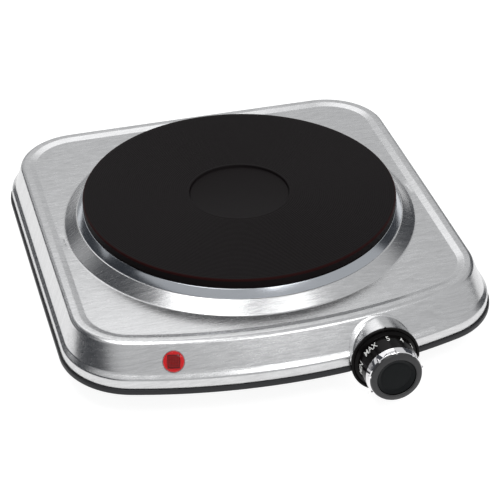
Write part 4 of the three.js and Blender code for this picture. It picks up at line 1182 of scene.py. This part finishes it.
# %% Lamp grid
GRID_HALF, GRID_THICK, GRID_FRONT = 3.4 * MM, 0.5 * MM, 0.75 * MM
RIDGES, RIDGE_HIGH = 7, 0.35 * MM
rest()
bpy.ops.mesh.primitive_cube_add(size=1)
grid = bpy.context.object
grid.name = "lens_grid"
grid.data.transform(Matrix.Diagonal((GRID_HALF * 2, GRID_HALF * 2.2, GRID_THICK, 1)))
bumps = []
pitch = 2 * GRID_HALF / (RIDGES + 1)
for row in range(RIDGES):
    for column in range(RIDGES):
        rest()
        bpy.ops.mesh.primitive_cone_add(vertices=4, radius1=pitch * 0.48, radius2=0, depth=RIDGE_HIGH)
        bump = bpy.context.object
        bump.data.transform(Matrix.Rotation(math.pi / 4, 4, "Z"))
        spot = ((column - RIDGES // 2) * pitch, (row - RIDGES // 2) * pitch, 0.42 * MM)
        bump.data.transform(Matrix.Translation(spot))
        bumps.append(bump)
ridges = join(*bumps)
ridges.name = "lens_ridges"
for piece, red in ((grid, LENS_GRID), (ridges, LENS_RIDGE)):
    piece.data.transform(LAMP_PLACE @ Matrix.Translation((0, 0, GRID_FRONT)))
    made(piece, "base", "lens_red", red)

# %% [markdown]
# ## Feet and their screws
#
# Four rubber feet, each a turned cup with a rounded sole. A cross-headed screw sits in each cup
# and runs up into a post under the panel.

# %% Feet and screws
FOOT_BORE, SCREW_HOLE = 3.4 * MM, 1.6 * MM
HEAD_TOP, HEAD_RADIUS = 3.4 * MM, 2.7 * MM
THREAD_CREST, THREAD_ROOT, THREAD_PITCH = 1.3 * MM, 1.05 * MM, 0.8 * MM
CROSS_LONG, CROSS_WIDE, CROSS_DEEP = 3.2 * MM, 0.6 * MM, 1.6 * MM
for corner in ("front_left", "front_right", "back_left", "back_right"):
    low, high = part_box("foot_" + corner)
    place = Matrix.Translation(((low.x + high.x) / 2, (low.y + high.y) / 2, 0))
    radius, height = (high.x - low.x) / 2, high.z
    foot_profile = rounded([
        (FOOT_BORE, 0),
        (radius - 3 * MM, 0, 0.2 * MM),
        (radius - 2.6 * MM, 0.5 * MM, 0.2 * MM),
        (radius - 2.1 * MM, 0, 0.2 * MM),
        (radius, 0, 1.1 * MM),
        (radius - 0.8 * MM, height, 0.5 * MM),
        (SCREW_HOLE, height),
        (SCREW_HOLE, HEAD_TOP + GAP),
        (FOOT_BORE, HEAD_TOP + GAP),
        (FOOT_BORE, 0),
    ], steps=3)[:-1]
    foot = turned("rubber_foot_" + corner, foot_profile, place, steps=48)
    made(foot, "base", "foot_rubber", RUBBER, "foot_" + corner)
    screw_low, screw_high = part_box("base_screw_" + corner)
    head = screw_low.z
    screw_profile = [
        (NEAR_AXIS, head),
        (1.5 * MM, head),
        (2.3 * MM, head + 0.4 * MM),
        (HEAD_RADIUS, head + 1.0 * MM),
        (HEAD_RADIUS, HEAD_TOP),
        (THREAD_CREST, HEAD_TOP),
    ]
    thread = HEAD_TOP + 1 * MM
    while thread < screw_high.z - 1.2 * MM:
        screw_profile += [(THREAD_ROOT, thread), (THREAD_CREST, thread + 0.4 * MM)]
        thread += THREAD_PITCH
    screw_profile += [(0.9 * MM, screw_high.z), (NEAR_AXIS, screw_high.z)]
    screw = turned("cross_screw_" + corner, screw_profile, place, steps=24)
    tidy(screw)
    for quarter_turn in (0, math.pi / 2):
        rest()
        bpy.ops.mesh.primitive_cube_add(size=1)
        blade = bpy.context.object
        blade.data.transform(Matrix.Diagonal((CROSS_LONG, CROSS_WIDE, CROSS_DEEP, 1)))
        turned_round = Matrix.Rotation(quarter_turn, 4, "Z")
        blade.data.transform(place @ Matrix.Translation((0, 0, head)) @ turned_round)
        take_away(screw, blade)
    smooth(screw, 30)
    made(screw, "base", "zinc_steel", ZINC, "base_screw_" + corner)

# %% [markdown]
# ## Cord gland
#
# The cord leaves through a black gland in the back wall. Its barrel has rings, which on the real
# gland let it bend with the cord.

# %% Gland
CORD_BORE, GLAND_BARREL, GLAND_BACK = 3.2 * MM, 4.7 * MM, -22 * MM
FLANGE_OUT, FLANGE_BACK = 6.3 * MM, -7.2 * MM
GLAND_RINGS, FIRST_RING, RING_STEP = 3, -3.1 * MM, 1.0 * MM
gland_profile = [
    (CORD_BORE, GLAND_BACK),
    (GLAND_BARREL, GLAND_BACK),
    (GLAND_BARREL, FLANGE_BACK),
    (FLANGE_OUT, FLANGE_BACK),
    (FLANGE_OUT, -4.0 * MM),
    (FLANGE_OUT - 0.3 * MM, -3.6 * MM),
    (GLAND_BARREL, -3.4 * MM),
]
for i in range(GLAND_RINGS):
    z = FIRST_RING + i * RING_STEP
    gland_profile += [
        (4.2 * MM, z),
        (4.25 * MM, z + 0.3 * MM),
        (4.65 * MM, z + 0.5 * MM),
        (4.6 * MM, z + 0.85 * MM),
    ]
gland_profile += [(4.1 * MM, -0.05 * MM), (CORD_BORE + 0.3 * MM, 0), (CORD_BORE, -0.3 * MM)]
gland = turned("gland_ringed", gland_profile, GLAND_PLACE, steps=48)
made(gland, "base", "gland_plastic", GLAND_BLACK, "cord_gland")

# %% [markdown]
# ## The bench's own finishes
#
# The floor glows a little, so the burner's shadow on it stays very soft. The cards are dark and
# slightly blue.

# %% Floor and card finishes
FLOOR_WHITE = grained("floor_white", (0.32, 0.32, 0.32), 0.9, size=40, swing=0.005, depth=0.001,
                      Emission_Color=(1, 1, 1, 1), Emission_Strength=0.9)
floor.data.materials.append(FLOOR_WHITE)
CARD_DARK = grained("card_dark", (0.05, 0.055, 0.065), 0.9, size=40, swing=0.05, depth=0.001)
for card in cards:
    card.data.materials.append(CARD_DARK)
print("floor and cards finished")

# %% [markdown]
# ## Inner parts
#
# The parts inside keep their plain shapes. Each gets the finish of its real material: zinc-plated
# steel, brass contacts, steatite insulators, coloured wires.

# %% Finishes for the inner parts
FINISH_OF = {
    "wire_live": sleeve("sleeve_brown", (0.16, 0.05, 0.015)),
    "wire_neutral": sleeve("sleeve_blue", (0.03, 0.12, 0.4)),
    "wire_switched": sleeve("sleeve_black", (0.015, 0.015, 0.016)),
    "wire_earth": sleeve("sleeve_green", (0.28, 0.33, 0.02)),
    "wire_lamp": sleeve("sleeve_red", (0.4, 0.03, 0.02)),
    "terminal_pin": BRASS,
    "contact_leaf": BRASS,
    "contact_strip": BRASS,
    "earth_tab": BRASS,
    "coil_cement": CERAMIC,
    "terminal_ceramic": CERAMIC,
    "thermostat_body": CERAMIC,
    "push_pin": CERAMIC,
    "lamp_body": WHITE_PLASTIC,
    "terminal_block": WHITE_PLASTIC,
    "neon_bulb": GLASS,
    "gland_nut": GLAND_BLACK,
}
for name, node in nodes.items():
    coat = next((found for start, found in FINISH_OF.items() if name.startswith(start)), ZINC)
    node.data.materials.clear()
    node.data.materials.append(coat)
print("finishes on the frame's own nodes:", len(nodes))

# %% [markdown]
# ## Sizes, and finish
#
# Last, the box round the plain solids and the box round the finished pieces are written down side
# by side. They should agree to a fraction of a millimetre.

# %% Sizes, and finish
visual_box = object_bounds()
sizes = {"cad": [list(c) for c in cad_box], "visual": [list(c) for c in visual_box]}
for label, (low, high) in sizes.items():
    print(label, [round(v * 1000, 2) for v in low], [round(v * 1000, 2) for v in high])
